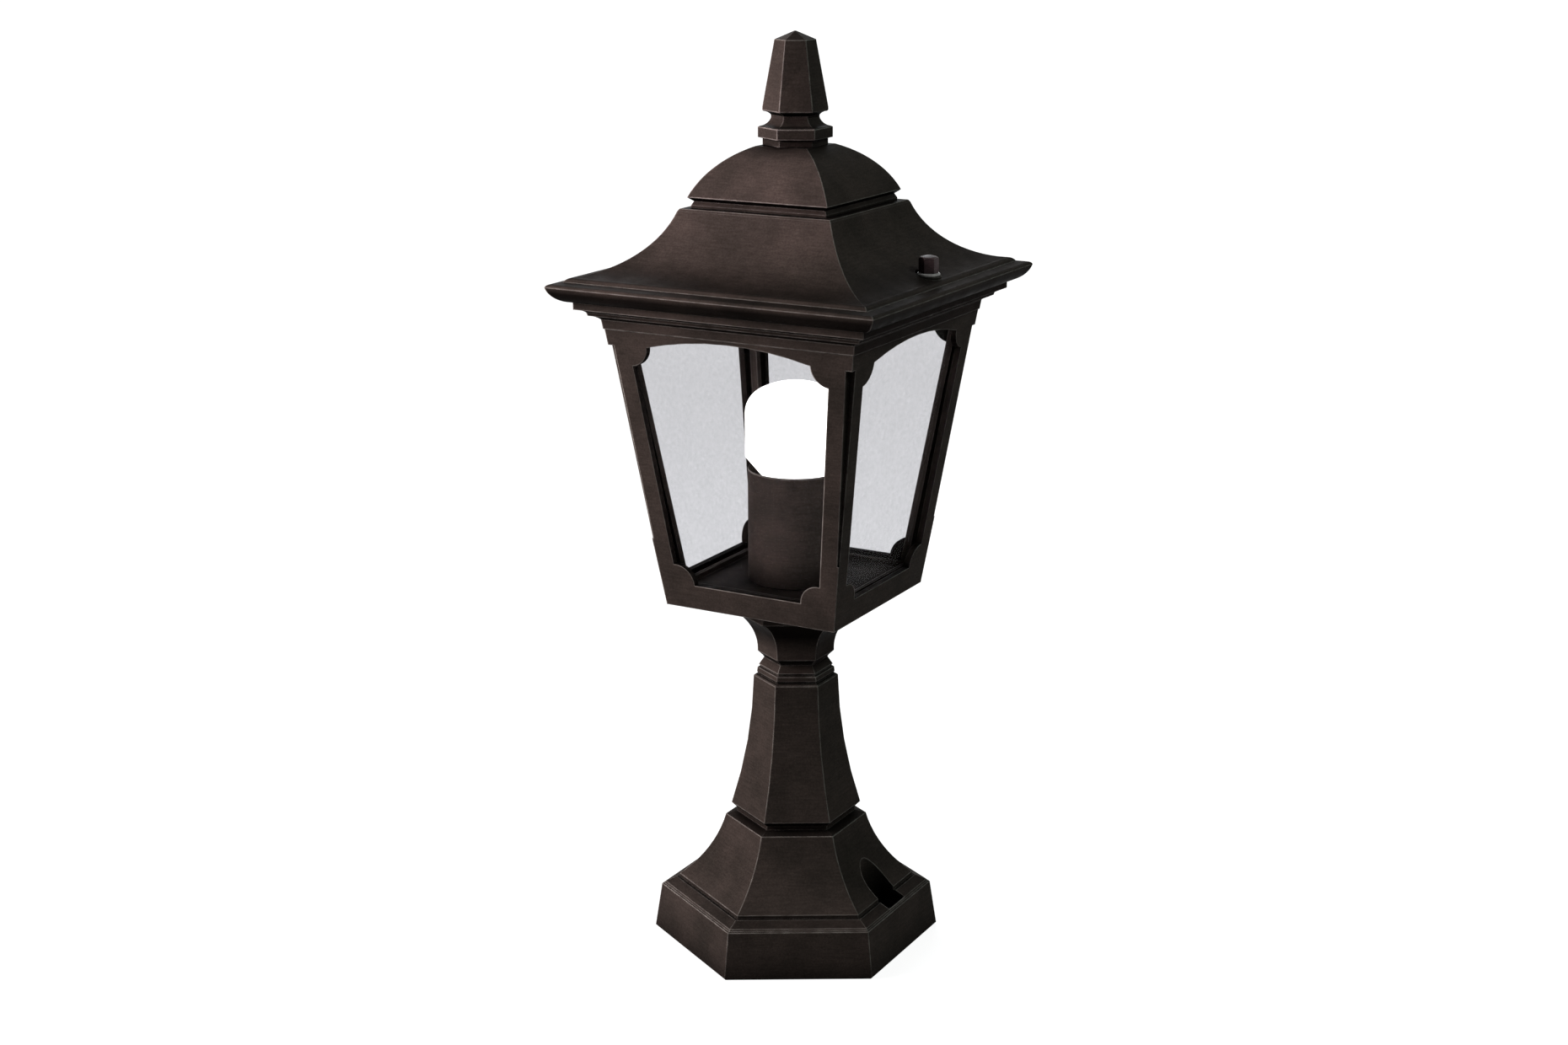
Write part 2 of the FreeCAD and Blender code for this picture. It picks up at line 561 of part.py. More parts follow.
def make_foot():
    """The hollow hexagonal foot, with a deck for the tube and two wells for the fixing screws."""
    outside = mitred("foot_outside", [
        ("rim_width / 2 - rim_chamfer", "0"),
        ("rim_width / 2", "rim_chamfer"),
        ("rim_top_width / 2", "rim_height"),
        ("band_low_width / 2 + rim_ledge", "rim_height + rim_ledge_rise"),
        ("band_low_width / 2", "band_low_height"),
        ("band_top_width / 2", "band_top_height"),
        ("flare_low_width / 2", "band_top_height"),
        ("flare_low_width / 2", "flare_low_height"),
        ("flare_top_width / 2", "flare_top_height", "flare_bow", -1),
        ("foot_neck_width / 2", "foot_neck_low"),
        ("foot_neck_width / 2", "foot_height"),
    ], HEXAGON)
    flare_low = ("flare_low_width / 2 - foot_wall", "flare_low_height - foot_wall")
    flare_top = ("foot_neck_width / 2 - foot_wall", "flare_top_height - foot_wall / 2")
    hollow = mitred("foot_hollow", [
        ("rim_width / 2 - foot_rim_wall", "0"),
        ("rim_top_width / 2 - foot_wall", "rim_height - foot_wall"),
        flare_low,
        *two_flats(flare_low, flare_top, "flare_bow", -1),
        ("foot_neck_width / 2 - foot_wall", "foot_under_deck"),
    ], HEXAGON)
    shell = cut("foot_shell", outside, hollow)
    blocks = []
    cutters = []
    for side in (1, -1):
        turn = 0 if side > 0 else 180
        for kind, radius, low in (("block", "well_radius + well_wall", "0"),
                                  ("well", "well_radius", "well_floor")):
            post = cylinder(f"foot_{kind}_post", radius, f"foot_height - ({low})", low,
                            f"fixing_spacing / 2 * {side}")
            across = "fixing_spacing / 2" if side > 0 else "-well_end / 2"
            way = box(f"foot_{kind}_way", ("(well_end - fixing_spacing) / 2", f"2 * ({radius})",
                                           f"foot_height - ({low})"), (across, f"-({radius})", low))
            shape = fuse(f"foot_{kind}_{turn}", post, way)
            (blocks if kind == "block" else cutters).append(shape)
        cutters.append(cylinder("foot_fixing_hole", "fixing_hole / 2", "well_floor", "0",
                                f"fixing_spacing / 2 * {side}"))
    walls = common("foot_well_walls", outside, fuse("foot_well_blocks", *blocks))
    spigot = prism("foot_spigot", "spigot_width", "spigot_height + foot_deck / 2",
                   "foot_height - foot_deck / 2")
    body = fuse("foot_body", shell, walls, spigot)
    cutters.append(tube_hole("foot_tube_hole", "foot_under_deck", "foot_height + spigot_height"))
    return cut("foot", body, *cutters)


def make_column():
    """The tall hexagonal column with two small rings at its head."""
    curve_top = "foot_height + column_curve_height"
    outside = mitred("column_outside", [
        ("column_base_width / 2", "foot_height"),
        ("column_edge_width / 2", "foot_height + column_edge_height"),
        ("column_top_width / 2", curve_top, "column_bow", -1),
        ("column_top_width / 2 - small_edge", f"{curve_top} + small_edge"),
        ("column_ring_width / 2 - small_edge", f"{curve_top} + column_ring_low"),
        ("column_ring_width / 2", f"{curve_top} + column_ring_low + 2 * small_edge"),
        ("column_ring_width / 2 - small_edge / 2", f"{curve_top} + column_ring_high"),
        ("column_collar_width / 2 - small_edge", f"{curve_top} + column_ring_high + small_edge"),
        ("column_collar_width / 2 - small_edge", f"{curve_top} + column_collar_low"),
        ("column_collar_width / 2", f"{curve_top} + column_collar_low + small_edge"),
        ("column_head_width / 2", "column_head"),
    ], HEXAGON)
    hollow = mitred("column_hollow", [
        ("spigot_width / 2 + tube_gap", "foot_height"),
        ("spigot_width / 2 + tube_gap", "foot_height + spigot_height + tube_gap"),
        ("column_top_width / 2 - column_wall", f"{curve_top} - column_wall"),
        ("column_head_width / 2 - column_wall / 2", "column_under_deck"),
    ], HEXAGON)
    shell = cut("column_shell", outside, hollow)
    spigot = prism("column_spigot", "head_spigot_width", "spigot_height + column_deck / 2",
                   "column_head - column_deck / 2")
    body = fuse("column_body", shell, spigot)
    return cut("column", body, tube_hole("column_tube_hole", "column_under_deck",
                                         "column_head + spigot_height"))


def make_neck_cup():
    """The cup that carries the lantern's floor on the column's head."""
    outside = mitred("neck_cup_outside", [
        ("column_head_width / 2", "cup_base"),
        ("column_head_width / 2 + small_edge", "cup_base + 2 * small_edge"),
        ("cup_edge_width / 2", "cup_base + cup_edge_height"),
        ("cup_curve_width / 2", "cup_base + cup_curve_height", "cup_bow", -1),
        ("cup_top_width / 2", "cup_base + cup_curve_height + small_edge"),
        ("cup_top_width / 2", "floor_under"),
    ], HEXAGON)
    curve_low = ("cup_edge_width / 2 - cup_wall", "cup_base + cup_deck")
    curve_top = ("cup_curve_width / 2 - cup_mouth_wall", "cup_base + cup_curve_height")
    hollow = mitred("neck_cup_hollow", [
        curve_low,
        *two_flats(curve_low, curve_top, "cup_bow", -1),
        ("cup_top_width / 2 - cup_wall", "floor_under"),
    ], HEXAGON)
    recess = prism("neck_cup_recess", "head_spigot_width + 2 * tube_gap",
                   "spigot_height + tube_gap", "cup_base")
    hole = tube_hole("neck_cup_tube_hole", "cup_base", "cup_base + cup_deck")
    return cut("neck_cup", outside, hollow, recess, hole)


def make_window():
    """The outline of one pair of windows: a shallow arch with a rounded lobe in each corner."""
    low = "window_low_width / 2"
    high = "window_high_width / 2"
    lean = "(window_high_width - window_low_width) / 2 / window_height"
    sketch = document.addObject("Sketcher::SketchObject", "window_outline")
    sketch.Placement = FreeCAD.Placement(FreeCAD.Vector(), UPRIGHT)
    draw_outline(sketch, mirrored([
        (f"{low} - lobe_radius", "window_sill"),
        (f"{low} + {lean} * lobe_radius", "window_sill + lobe_radius", "lobe_low_bow", -1),
        (f"{high} - {lean} * lobe_radius", "arch_spring - lobe_radius"),
        (f"{high} - lobe_radius", "arch_spring", "lobe_high_bow", -1),
    ], ("arch_rise", 1)))
    cutters = []
    for turn in (0, 1):
        through = document.addObject("Part::Extrusion", "window_cut")
        through.Base = sketch
        through.DirMode = "Normal"
        through.Symmetric = True
        through.Solid = True
        bind(through, LengthFwd="reach")
        through.Placement = turned_about_axis(90 * turn)
        cutters.append(through)
    return cutters


def make_lantern_frame():
    """The glazed head's frame: four leaning faces, floor, cornice and the channels for the glass."""
    low = frame_half_at("frame_base")
    frieze = frame_half_at("frame_base + frieze_height")
    start = frame_half_at("frame_base + cornice_start")
    outside = mitred("frame_outside", [
        (low, "frame_base"),
        (frieze, "frame_base + frieze_height"),
        (f"{frieze} + frieze_step", "frame_base + frieze_height"),
        (f"{start} + frieze_step", "frame_base + cornice_start"),
        ("cornice_middle_width / 2 - small_edge", "frame_top - fascia_height - 2 * cove_drop",
         "cove_bow", -1),
        ("cornice_middle_width / 2", "frame_top - fascia_height - cove_drop"),
        ("fascia_width / 2", "frame_top - fascia_height", "cove_bow", -1),
        ("fascia_width / 2", "frame_top"),
    ], SQUARE)
    inner_low = frame_half_at("floor_top")
    inner_high = frame_half_at("frame_top - cornice_depth")
    hollow = mitred("frame_hollow", [
        (f"{inner_low} - frame_wall", "floor_top"),
        (f"{inner_high} - frame_wall", "frame_top - cornice_depth"),
        ("cornice_opening / 2", "frame_top - cornice_depth"),
        ("cornice_opening / 2", "frame_top"),
    ], SQUARE)
    underside = mitred("frame_underside", [
        (f"{low} - frame_wall", "frame_base"),
        (f"{low} - frame_wall", "floor_under"),
    ], SQUARE)
    shell = cut("frame_shell", outside, hollow, underside, *make_window())

    parts = [shell]
    rebates = []
    back = "frame_wall + pane_thickness + 2 * pane_gap"
    channel_low = "floor_top"
    channel_high = "frame_top - cornice_depth"
    for turn in range(4):
        low_half = frame_half_at(channel_low)
        high_half = frame_half_at(channel_high)
        web_low = (f"{low_half} - pane_edge + pane_gap", f"{low_half} - frame_wall / 2")
        web_high = (f"{high_half} - pane_edge + pane_gap", f"{high_half} - frame_wall / 2")
        parts.append(leaning_bar("frame_corner_web", channel_low, channel_high,
                                 web_low, web_high, web_low, web_high, turn))
        bar_low = (f"{low_half} - ({back}) - channel_depth", f"{low_half} - ({back})")
        glass_half = frame_half_at("pane_top")
        bar_high = (f"{glass_half} - ({back}) - channel_depth", f"{glass_half} - ({back})")
        parts.append(leaning_bar("frame_corner_bar", channel_low, "pane_top",
                                 bar_low, bar_high, bar_low, bar_high, turn))
        rebate_low_half = frame_half_at("frame_base + rebate_low")
        rebate_top_half = frame_half_at("frame_base + rebate_top")
        rebate_under = (f"{rebate_low_half} - rebate_low_depth", f"{rebate_low_half} + frame_wall")
        rebate_over = (f"{rebate_top_half} - rebate_top_depth", f"{rebate_top_half} + frame_wall")
        rebates.append(leaning_bar("frame_corner_rebate", "frame_base + rebate_low",
                                   "frame_base + rebate_top", rebate_under, rebate_over,
                                   rebate_under, rebate_over, turn))
    bead_half = f"({frame_half_at('floor_top')} - ({back}))"
    bead = cut("frame_bead",
               box("frame_bead_outer", (f"2 * {bead_half}", f"2 * {bead_half}", "bead_height"),
                   (f"-{bead_half}", f"-{bead_half}", "floor_top")),
               box("frame_bead_inner", (f"2 * ({bead_half} - bead_width)",
                                        f"2 * ({bead_half} - bead_width)", "bead_height"),
                   (f"-({bead_half} - bead_width)", f"-({bead_half} - bead_width)", "floor_top")))
    parts.append(bead)
    body = fuse("frame_body", *parts)
    holes = list(rebates)
    holes.append(tube_hole("frame_tube_hole", "floor_under", "floor_top"))
    for side in (1, -1):
        holes.append(cylinder("frame_stud_hole", "stud_diameter / 2", "stud_depth",
                              "frame_top - stud_depth", f"stud_spacing / 2 * {side}"))
    return cut("lantern_frame", body, *holes)


def make_panes():
    """The four glass panes, which slide down their channels and stand on the floor."""
    for turn, side in enumerate(("front", "right", "back", "left")):
        low_half = "pane_low_half + frame_wall + pane_gap - pane_edge"
        high_half = "pane_high_half + frame_wall + pane_gap - pane_edge"
        leaning_bar(f"pane_{side}", "pane_base", "pane_top",
                    (f"-({low_half})", low_half), (f"-({high_half})", high_half),
                    ("pane_low_half - pane_thickness", "pane_low_half"),
                    ("pane_high_half - pane_thickness", "pane_high_half"), turn)


def make_clips():
    """Four small sheet clips on the cornice's inner face, which hold the panes back at the top."""
    clips = []
    low = "frame_top - clip_inset - clip_pad_height"
    pad = "cornice_opening / 2"
    side = "clip_offset - clip_width / 2"
    tip = "(frame_top - cornice_depth - clip_drop)"
    foot = f"(pane_high_half - pane_thickness - frame_lean * (pane_top - {tip}))"
    for turn in range(4):
        upright = box("clip_pad", ("clip_thickness", "clip_width", "clip_pad_height"),
                      (f"{pad} - clip_thickness", side, low))
        step = box("clip_step", (f"{pad} - {foot} + clip_thickness", "clip_width", "clip_thickness"),
                   (f"{foot} - clip_thickness", side, low))
        tongue = box("clip_tongue",
                     ("clip_thickness", "clip_width", f"{low} + clip_thickness - {tip}"),
                     (f"{foot} - clip_thickness", side, tip))
        clip = fuse("clip", upright, step, tongue)
        clip.Placement = turned_about_axis(90 * turn)
        clips.append(clip)
    group("pane_clips", clips)


def make_roof_skirt():
    """The lower roof: a hollow sweep above a rounded eave, with level pads for its two nuts."""
    base = "skirt_base"
    outside = mitred("skirt_outside", [
        ("seat_width / 2", base),
        ("eave_width / 2", f"{base} + eave_tip_height", "eave_bow", 1),
        ("rim_outer_width / 2", f"{base} + rim_outer_height", "eave_edge_bow", 1),
        ("rim_inner_width / 2", f"{base} + rim_inner_height"),
        ("sweep_low_width / 2", f"{base} + rim_inner_height"),
        ("sweep_low_width / 2", f"{base} + sweep_low_height"),
        ("sweep_top_width / 2", f"{base} + sweep_top_height", "sweep_bow", -1),
        ("skirt_top_width / 2", "skirt_top"),
    ], SQUARE)
    sweep_low = ("seat_opening / 2", f"{base} + sweep_low_height")
    sweep_top = ("sweep_top_width / 2 - skirt_wall", "skirt_top - skirt_shoulder")
    hollow = mitred("skirt_hollow", [
        ("seat_opening / 2", base),
        sweep_low,
        *two_flats(sweep_low, sweep_top, "sweep_inner_bow", -1),
        ("sweep_top_width / 2 - skirt_wall", "skirt_top - skirt_deck"),
    ], SQUARE)
    shell = cut("skirt_shell", outside, hollow)
    pads = []
    cutters = [make_gasket_ring("skirt_gasket_groove", "gasket_gap")]
    for side in (1, -1):
        across = f"stud_spacing / 2 * {side}"
        pads.append(cylinder("skirt_nut_pad", "nut_pad_width / 2", "nut_seat_height / 2",
                             "nut_seat - nut_seat_height / 2", across))
        cutters.append(cylinder("skirt_nut_face", "nut_pad_width / 2 + nut_gap", "skirt_height / 2",
                                "nut_seat", across))
        cutters.append(cylinder("skirt_stud_hole", "stud_diameter / 2 + stud_gap",
                                "nut_seat_height", base, across))
    cutters.append(cylinder("skirt_finial_hole", "stud_diameter / 2", "skirt_deck",
                            "skirt_top - skirt_deck"))
    body = fuse("skirt_body", shell, *pads)
    return cut("roof_skirt", body, *cutters)


def make_gasket_ring(name, gap):
    """A flat square ring for the gasket, or for its groove with a gap all round."""
    outer = f"(gasket_outer_width + 2 * {gap})"
    inner = f"(gasket_outer_width - 2 * gasket_width - 2 * {gap})"
    return cut(name,
               box(name + "_outer", (outer, outer, "gasket_thickness"),
                   (f"-{outer} / 2", f"-{outer} / 2", "skirt_base")),
               box(name + "_inner", (inner, inner, "gasket_thickness"),
                   (f"-{inner} / 2", f"-{inner} / 2", "skirt_base")))


def make_gasket():
    """The rubber strip between the roof and the cornice, pierced for the studs."""
    ring = make_gasket_ring("gasket_ring", "0")
    holes = [cylinder("gasket_hole", "stud_diameter / 2 + stud_gap", "gasket_thickness",
                      "skirt_base", f"stud_spacing / 2 * {side}") for side in (1, -1)]
    return cut("roof_gasket", ring, *holes)


def make_roof_dome():
    """The upper roof: a four-sided dome above an undercut groove."""
    outside = mitred("dome_outside", [
        ("dome_plinth_width / 2", "dome_base"),
        ("dome_plinth_width / 2", "dome_base + dome_plinth_height"),
        ("dome_groove_width / 2", "dome_base + dome_groove_height"),
        ("dome_edge_width / 2 - small_edge", "dome_base + dome_edge_height - 2 * small_edge"),
        ("dome_edge_width / 2", "dome_base + dome_edge_height - small_edge"),
        ("dome_top_width / 2", "dome_top", "dome_bow", 1),
    ], SQUARE)
    inner_low = ("dome_groove_width / 2 - dome_wall", "dome_base + dome_edge_height")
    inner_top = ("dome_top_width / 2", "dome_top - dome_crown_wall")
    hollow = mitred("dome_hollow", [
        ("dome_groove_width / 2 - dome_wall", "dome_base"),
        inner_low,
        *two_flats(inner_low, inner_top, "dome_inner_bow", 1),
    ], SQUARE)
    hole = cylinder("dome_hole", "stud_diameter / 2", "dome_height", "dome_base")
    return cut("roof_dome", outside, hollow, hole)


def make_finial():
    """The hexagonal finial, drilled from below for its stud."""
    base = "finial_base"
    outside = mitred("finial_outside", [
        ("finial_base_width / 2", base),
        ("finial_base_width / 2", f"{base} + finial_ring_low - small_edge"),
        ("finial_ring_width / 2", f"{base} + finial_ring_low"),
        ("finial_ring_width / 2", f"{base} + finial_ring_high - small_edge"),
        ("finial_ring_width / 2 - 2 * small_edge", f"{base} + finial_ring_high"),
        ("finial_neck_width / 2", f"{base} + finial_neck_height", "finial_cove_bow", -1),
        ("finial_neck_width / 2", f"{base} + finial_neck_height + 2 * small_edge"),
        ("finial_body_width / 2 - small_edge", f"{base} + finial_body_low - small_edge",
         "finial_throat_bow", -1),
        ("finial_body_width / 2", f"{base} + finial_body_low"),
        ("finial_body_width / 2", f"{base} + finial_body_low + finial_edge"),
        ("finial_top_width / 2", f"{base} + finial_shoulder"),
        ("finial_tip_width / 2", f"{base} + finial_height"),
    ], HEXAGON)
    hole = cylinder("finial_hole", "stud_diameter / 2", "stud_in_finial + stud_gap", base)
    return cut("finial", outside, hole)


def square_washer(name, width, thickness, bore, up):
    """A square washer, given its width, its thickness and the diameter of its hole."""
    plate = box(f"{name}_plate", (width, width, thickness), (f"-({width}) / 2", f"-({width}) / 2", up))
    return cut(name, plate, cylinder(f"{name}_hole", f"({bore}) / 2", thickness, up))


def hexagon_nut(name, width, height, bore, up):
    """A hexagon nut, given its width across flats, its height and its bore."""
    return cut(name, prism(f"{name}_hexagon", width, height, up),
               cylinder(f"{name}_bore", f"({bore}) / 2", height, up))


def make_finial_fasteners():
    """The stud that holds finial and dome on the roof skirt, with its washer and nut."""
    washer_base = "skirt_top - skirt_deck - stud_washer_thickness"
    nut_base = f"{washer_base} - stud_nut_height"
    stud_base = f"{nut_base} - stud_end"
    cylinder("finial_stud", "stud_diameter / 2", f"finial_base + stud_in_finial - ({stud_base})",
             stud_base)
    square_washer("finial_washer", "stud_washer_width", "stud_washer_thickness", "stud_diameter",
                  washer_base)
    hexagon_nut("finial_nut", "nut_width", "stud_nut_height", "stud_diameter", nut_base)


def make_roof_fasteners():
    """The two studs and flanged cap nuts that hold the roof on the cornice."""
    studs = []
    for side, name in ((1, "right"), (-1, "left")):
        across = f"stud_spacing / 2 * {side}"
        studs.append(cylinder("roof_stud", "stud_diameter / 2",
                              "stud_depth + nut_seat_height + stud_rise",
                              "frame_top - stud_depth", across))
        flange = cylinder("nut_flange", "nut_flange_width / 2", "nut_flange_height", "0")
        hexagon = mitred("nut_hexagon", [
            ("nut_width / 2", "0"),
            ("nut_width / 2", "nut_hex_height"),
            ("(nut_width + nut_crown_width) / 4", "(nut_hex_height + 2 * nut_height) / 3"),
            ("nut_crown_width / 2", "nut_height"),
        ], HEXAGON)
        bore = cylinder("nut_bore", "stud_diameter / 2 + nut_gap", "stud_rise + nut_gap", "0")
        nut = cut(f"roof_nut_{name}", fuse("nut_shape", flange, hexagon), bore)
        bind(nut, Placement__Base__x=across, Placement__Base__z="nut_seat")
    group("roof_studs", studs)


def make_tube():
    """The hollow threaded tube that clamps foot, column, cup and frame, with nuts and washers."""
    cut("tie_tube",
        cylinder("tube_outside", "tube_diameter / 2", "tube_top - tube_base", "tube_base"),
        cylinder("tube_inside", "tube_bore / 2", "tube_top - tube_base", "tube_base"))
    foot_washer_base = "foot_under_deck - tube_washer_thickness"
    for name, washer_base, nut_height, nut_base in (
            ("foot", foot_washer_base, "foot_nut_height", f"{foot_washer_base} - foot_nut_height"),
            ("floor", "sleeve_floor", "floor_nut_height", "floor_nut_base")):
        square_washer(f"{name}_washer", "tube_washer_width", "tube_washer_thickness",
                      "tube_diameter", washer_base)
        hexagon_nut(f"{name}_nut", "tube_nut_width", nut_height, "tube_diameter", nut_base)


def make_lampholder():
    """The sleeve on the lantern's floor and the lampholder inside it."""
    turned("lamp_sleeve", [
        ("tube_diameter / 2 + tube_gap", "floor_top"),
        ("sleeve_diameter / 2", "floor_top"),
        ("sleeve_diameter / 2", "floor_top + sleeve_height"),
        ("sleeve_diameter / 2 - sleeve_wall", "floor_top + sleeve_height"),
        ("sleeve_diameter / 2 - sleeve_wall", "sleeve_floor"),
        ("tube_diameter / 2 + tube_gap", "sleeve_floor"),
    ])
    flat = "holder_width / 2"
    cap = mitred("holder_cap_outside", [
        (flat, "holder_base"),
        (flat, "holder_floor"),
    ], HOLDER_FLATS)
    cut("lampholder_cap", cap,
        cylinder("holder_entry", "tube_diameter / 2", "holder_entry_depth", "holder_base"))
    skirt = mitred("holder_skirt_outside", [
        (flat, "holder_floor"),
        (flat, "holder_floor + holder_skirt_height"),
    ], HOLDER_FLATS)
    cut("lampholder_skirt", skirt,
        cylinder("holder_skirt_inside", "holder_mouth / 2", "holder_skirt_height", "holder_floor"))
    cut("screw_shell",
        cylinder("shell_outside", "shell_diameter / 2", "shell_height", "holder_floor"),
        cylinder("shell_inside", "shell_diameter / 2 - shell_wall", "shell_height", "holder_floor"))
    box("centre_contact", ("contact_length", "contact_width", "contact_thickness"),
        ("-contact_length / 2", "-contact_width / 2", "holder_floor"))


def make_lamp():
    """The lamp: an opal bulb on a screw cap with an insulator and a contact button."""
    cylinder("lamp_contact", "lamp_tip_width / 2", "lamp_tip_height", "lamp_base")
    cylinder("lamp_insulator", "lamp_insulator_width / 2", "lamp_insulator_height",
             "lamp_base + lamp_tip_height")
    cylinder("lamp_cap", "lamp_cap_diameter / 2", "lamp_cap_height", "lamp_cap_base")
    staves = round(value("lamp_staves"))
    outside = mitred("lamp_glass_outside", [
        ("lamp_neck_width / 2", "lamp_cap_top"),
        ("lamp_neck_width / 2", "lamp_cap_top + lamp_neck_height"),
        ("lamp_diameter / 2", "lamp_cap_top + lamp_slope_height"),
        ("lamp_diameter / 2", "lamp_cap_top + lamp_side_height"),
        ("lamp_crown_width / 2", "lamp_top - lamp_crown_bow", "lamp_corner_bow", 1),
    ], staves, ("lamp_crown_bow", 1))
    hollow = mitred("lamp_glass_hollow", [
        ("lamp_neck_width / 2 - lamp_glass_wall", "lamp_cap_top"),
        ("lamp_neck_width / 2 - lamp_glass_wall", "lamp_cap_top + lamp_neck_height + lamp_glass_wall"),
        ("lamp_diameter / 2 - lamp_glass_wall", "lamp_cap_top + lamp_slope_height + lamp_glass_wall"),
        ("lamp_diameter / 2 - lamp_glass_wall", "lamp_cap_top + lamp_side_height"),
        ("lamp_crown_width / 2 - lamp_glass_wall", "lamp_top - lamp_crown_bow - lamp_glass_wall"),
    ], staves)
    cut("lamp_glass", outside, hollow)


def make_wiring():
    """The terminal block and the earth tag under the foot's deck."""
    low = "foot_under_deck - block_height"
    block = box("block_body", ("block_length", "block_width", "block_height"),
                ("-block_length / 2", "block_offset - block_width / 2", low))
    slots = []
    for side in (-1, 1):
        slots.append(box("block_slot", ("pole_slot", "block_width", "pole_slot_depth"),
                         (f"pole_spacing / 2 * {side} - pole_slot / 2",
                          "block_offset - block_width / 2", low)))
    cut("terminal_block", block, *slots)
    box("earth_tag", ("earth_tag_length", "earth_tag_width", "earth_tag_thickness"),
        ("-earth_tag_length / 2", "-earth_offset - earth_tag_width / 2",
         "foot_under_deck - earth_tag_thickness"))


make_foot()
make_column()
make_neck_cup()
make_lantern_frame()
make_panes()
make_clips()
make_roof_skirt()
make_gasket()
make_roof_dome()
make_finial()
make_finial_fasteners()
make_roof_fasteners()
make_tube()
make_lampholder()
make_lamp()
make_wiring()
document.recompute()

NODES = (
    "foot", "column", "neck_cup", "lantern_frame", "pane_front", "pane_right", "pane_back",
    "pane_left", "pane_clips", "roof_studs", "roof_skirt", "roof_gasket", "roof_dome", "finial",
    "finial_stud", "finial_washer", "finial_nut", "roof_nut_right", "roof_nut_left", "tie_tube",
    "foot_nut", "foot_washer", "floor_nut", "floor_washer", "lamp_sleeve", "lampholder_cap",
    "lampholder_skirt", "screw_shell", "centre_contact", "lamp_contact", "lamp_insulator",
    "lamp_cap", "lamp_glass", "terminal_block", "earth_tag",
)

for piece in document.Objects:
    faults = {"Invalid", "Error"} & set(piece.State)
    if faults:
        raise RuntimeError(f"{piece.Label} is {', '.join(sorted(faults))}: {piece.getStatusString()}")

os.makedirs("parts", exist_ok=True)
for node in NODES:
    piece = document.getObject(node)
    piece.Label = node
    shape = piece.Shape
    if shape.isNull() or not shape.isValid() or not shape.Solids:
        raise RuntimeError(f"{node} has no valid solid")
    shape.exportStep(f"parts/{node}.step")
    print(f"{node}: {len(shape.Solids)} solid, volume {shape.Volume:.0f}")
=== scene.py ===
# %% [markdown]
# # A post top lantern in dark powder coat
#
# The lantern comes from its construction model as a set of finished solids: cast foot, column,
# cup, glazed frame, roof and finial, with the lampholder, fixings and terminals inside. This lesson
# gives every solid its surface, swaps the parts whose curves show for finer meshes, adds the small
# screws that the solids leave out, and sets the lantern on a pale floor under soft light.

# %% The frame that everything stands in
import math

import bmesh
import bpy
from mathutils import Matrix, Vector


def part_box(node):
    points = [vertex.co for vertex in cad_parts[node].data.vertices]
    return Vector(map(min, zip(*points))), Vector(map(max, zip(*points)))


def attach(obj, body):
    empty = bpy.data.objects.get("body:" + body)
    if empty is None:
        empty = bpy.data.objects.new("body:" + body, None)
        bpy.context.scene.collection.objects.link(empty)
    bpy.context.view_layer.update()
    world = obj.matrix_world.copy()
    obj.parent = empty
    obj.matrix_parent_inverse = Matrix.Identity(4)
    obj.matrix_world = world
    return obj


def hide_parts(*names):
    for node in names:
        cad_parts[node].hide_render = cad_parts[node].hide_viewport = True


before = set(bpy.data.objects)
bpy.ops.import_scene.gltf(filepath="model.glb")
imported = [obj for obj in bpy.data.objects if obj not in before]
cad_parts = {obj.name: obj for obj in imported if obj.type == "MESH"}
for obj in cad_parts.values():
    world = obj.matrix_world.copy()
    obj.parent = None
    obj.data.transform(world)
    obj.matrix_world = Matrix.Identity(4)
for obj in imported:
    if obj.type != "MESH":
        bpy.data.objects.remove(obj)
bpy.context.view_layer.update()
MM = 0.001

# %% [markdown]
# ## One helper for every kind of node
#
# Materials, the world and Geometry Nodes are all trees of nodes, and building them in a script is
# mostly the same three steps: add a node, set its options, and give each input a number or a link.
# One helper does all three, which keeps each tree short enough to read like a recipe. An input is
# named by its label, with `_` for a space, or by `at` and its place in the node's list where
# several inputs share a label.

# %% A helper that adds a node


def add(tree, kind, settings=None, **inputs):
    """A node with its options and inputs. An input that is a socket is linked."""
    node = tree.nodes.new(kind)
    for key, setting in (settings or {}).items():
        setattr(node, key, setting)
    for key, value in inputs.items():
        numbered = key.startswith("at")
        socket = node.inputs[int(key[2:])] if numbered else node.inputs[key.replace("_", " ")]
        if isinstance(value, bpy.types.NodeSocket):
            tree.links.new(value, socket)
        else:
            socket.default_value = value
    return node


def maths(tree, operation, first, second=0.0):
    """One sum on numbers or patterns."""
    return add(tree, "ShaderNodeMath", {"operation": operation}, at0=first, at1=second).outputs[0]


# %% [markdown]
# ## Building materials from small parts
#
# Every finish here is one Principled shader with a few noise patterns behind it. Image textures
# would need a map for each casting. Noise needs none: it reads Object coordinates, in metres, so a
# grain of 1 mm stays 1 mm on every piece and runs on over its corners.

# %% Helpers for materials


def start_material(name):
    """A fresh material: its node tree, its shader and its Object coordinates."""
    material = bpy.data.materials.new(name)
    material.use_nodes = True
    tree = material.node_tree
    shader = tree.nodes["Principled BSDF"]
    place = tree.nodes.new("ShaderNodeTexCoord").outputs["Object"]
    return material, tree, shader, place


def noise(tree, place, millimetres, detail=2.0, roughness=0.5):
    """A noise pattern whose features are about this many millimetres across."""
    return add(tree, "ShaderNodeTexNoise", Vector=place, Scale=1 / (millimetres * MM),
               Detail=detail, Roughness=roughness).outputs["Fac"]


def remap(tree, value, low, high, out_low, out_high):
    """Stretches part of a pattern's range onto another range."""
    return add(tree, "ShaderNodeMapRange", Value=value, at1=low, at2=high, at3=out_low,
               at4=out_high).outputs["Result"]


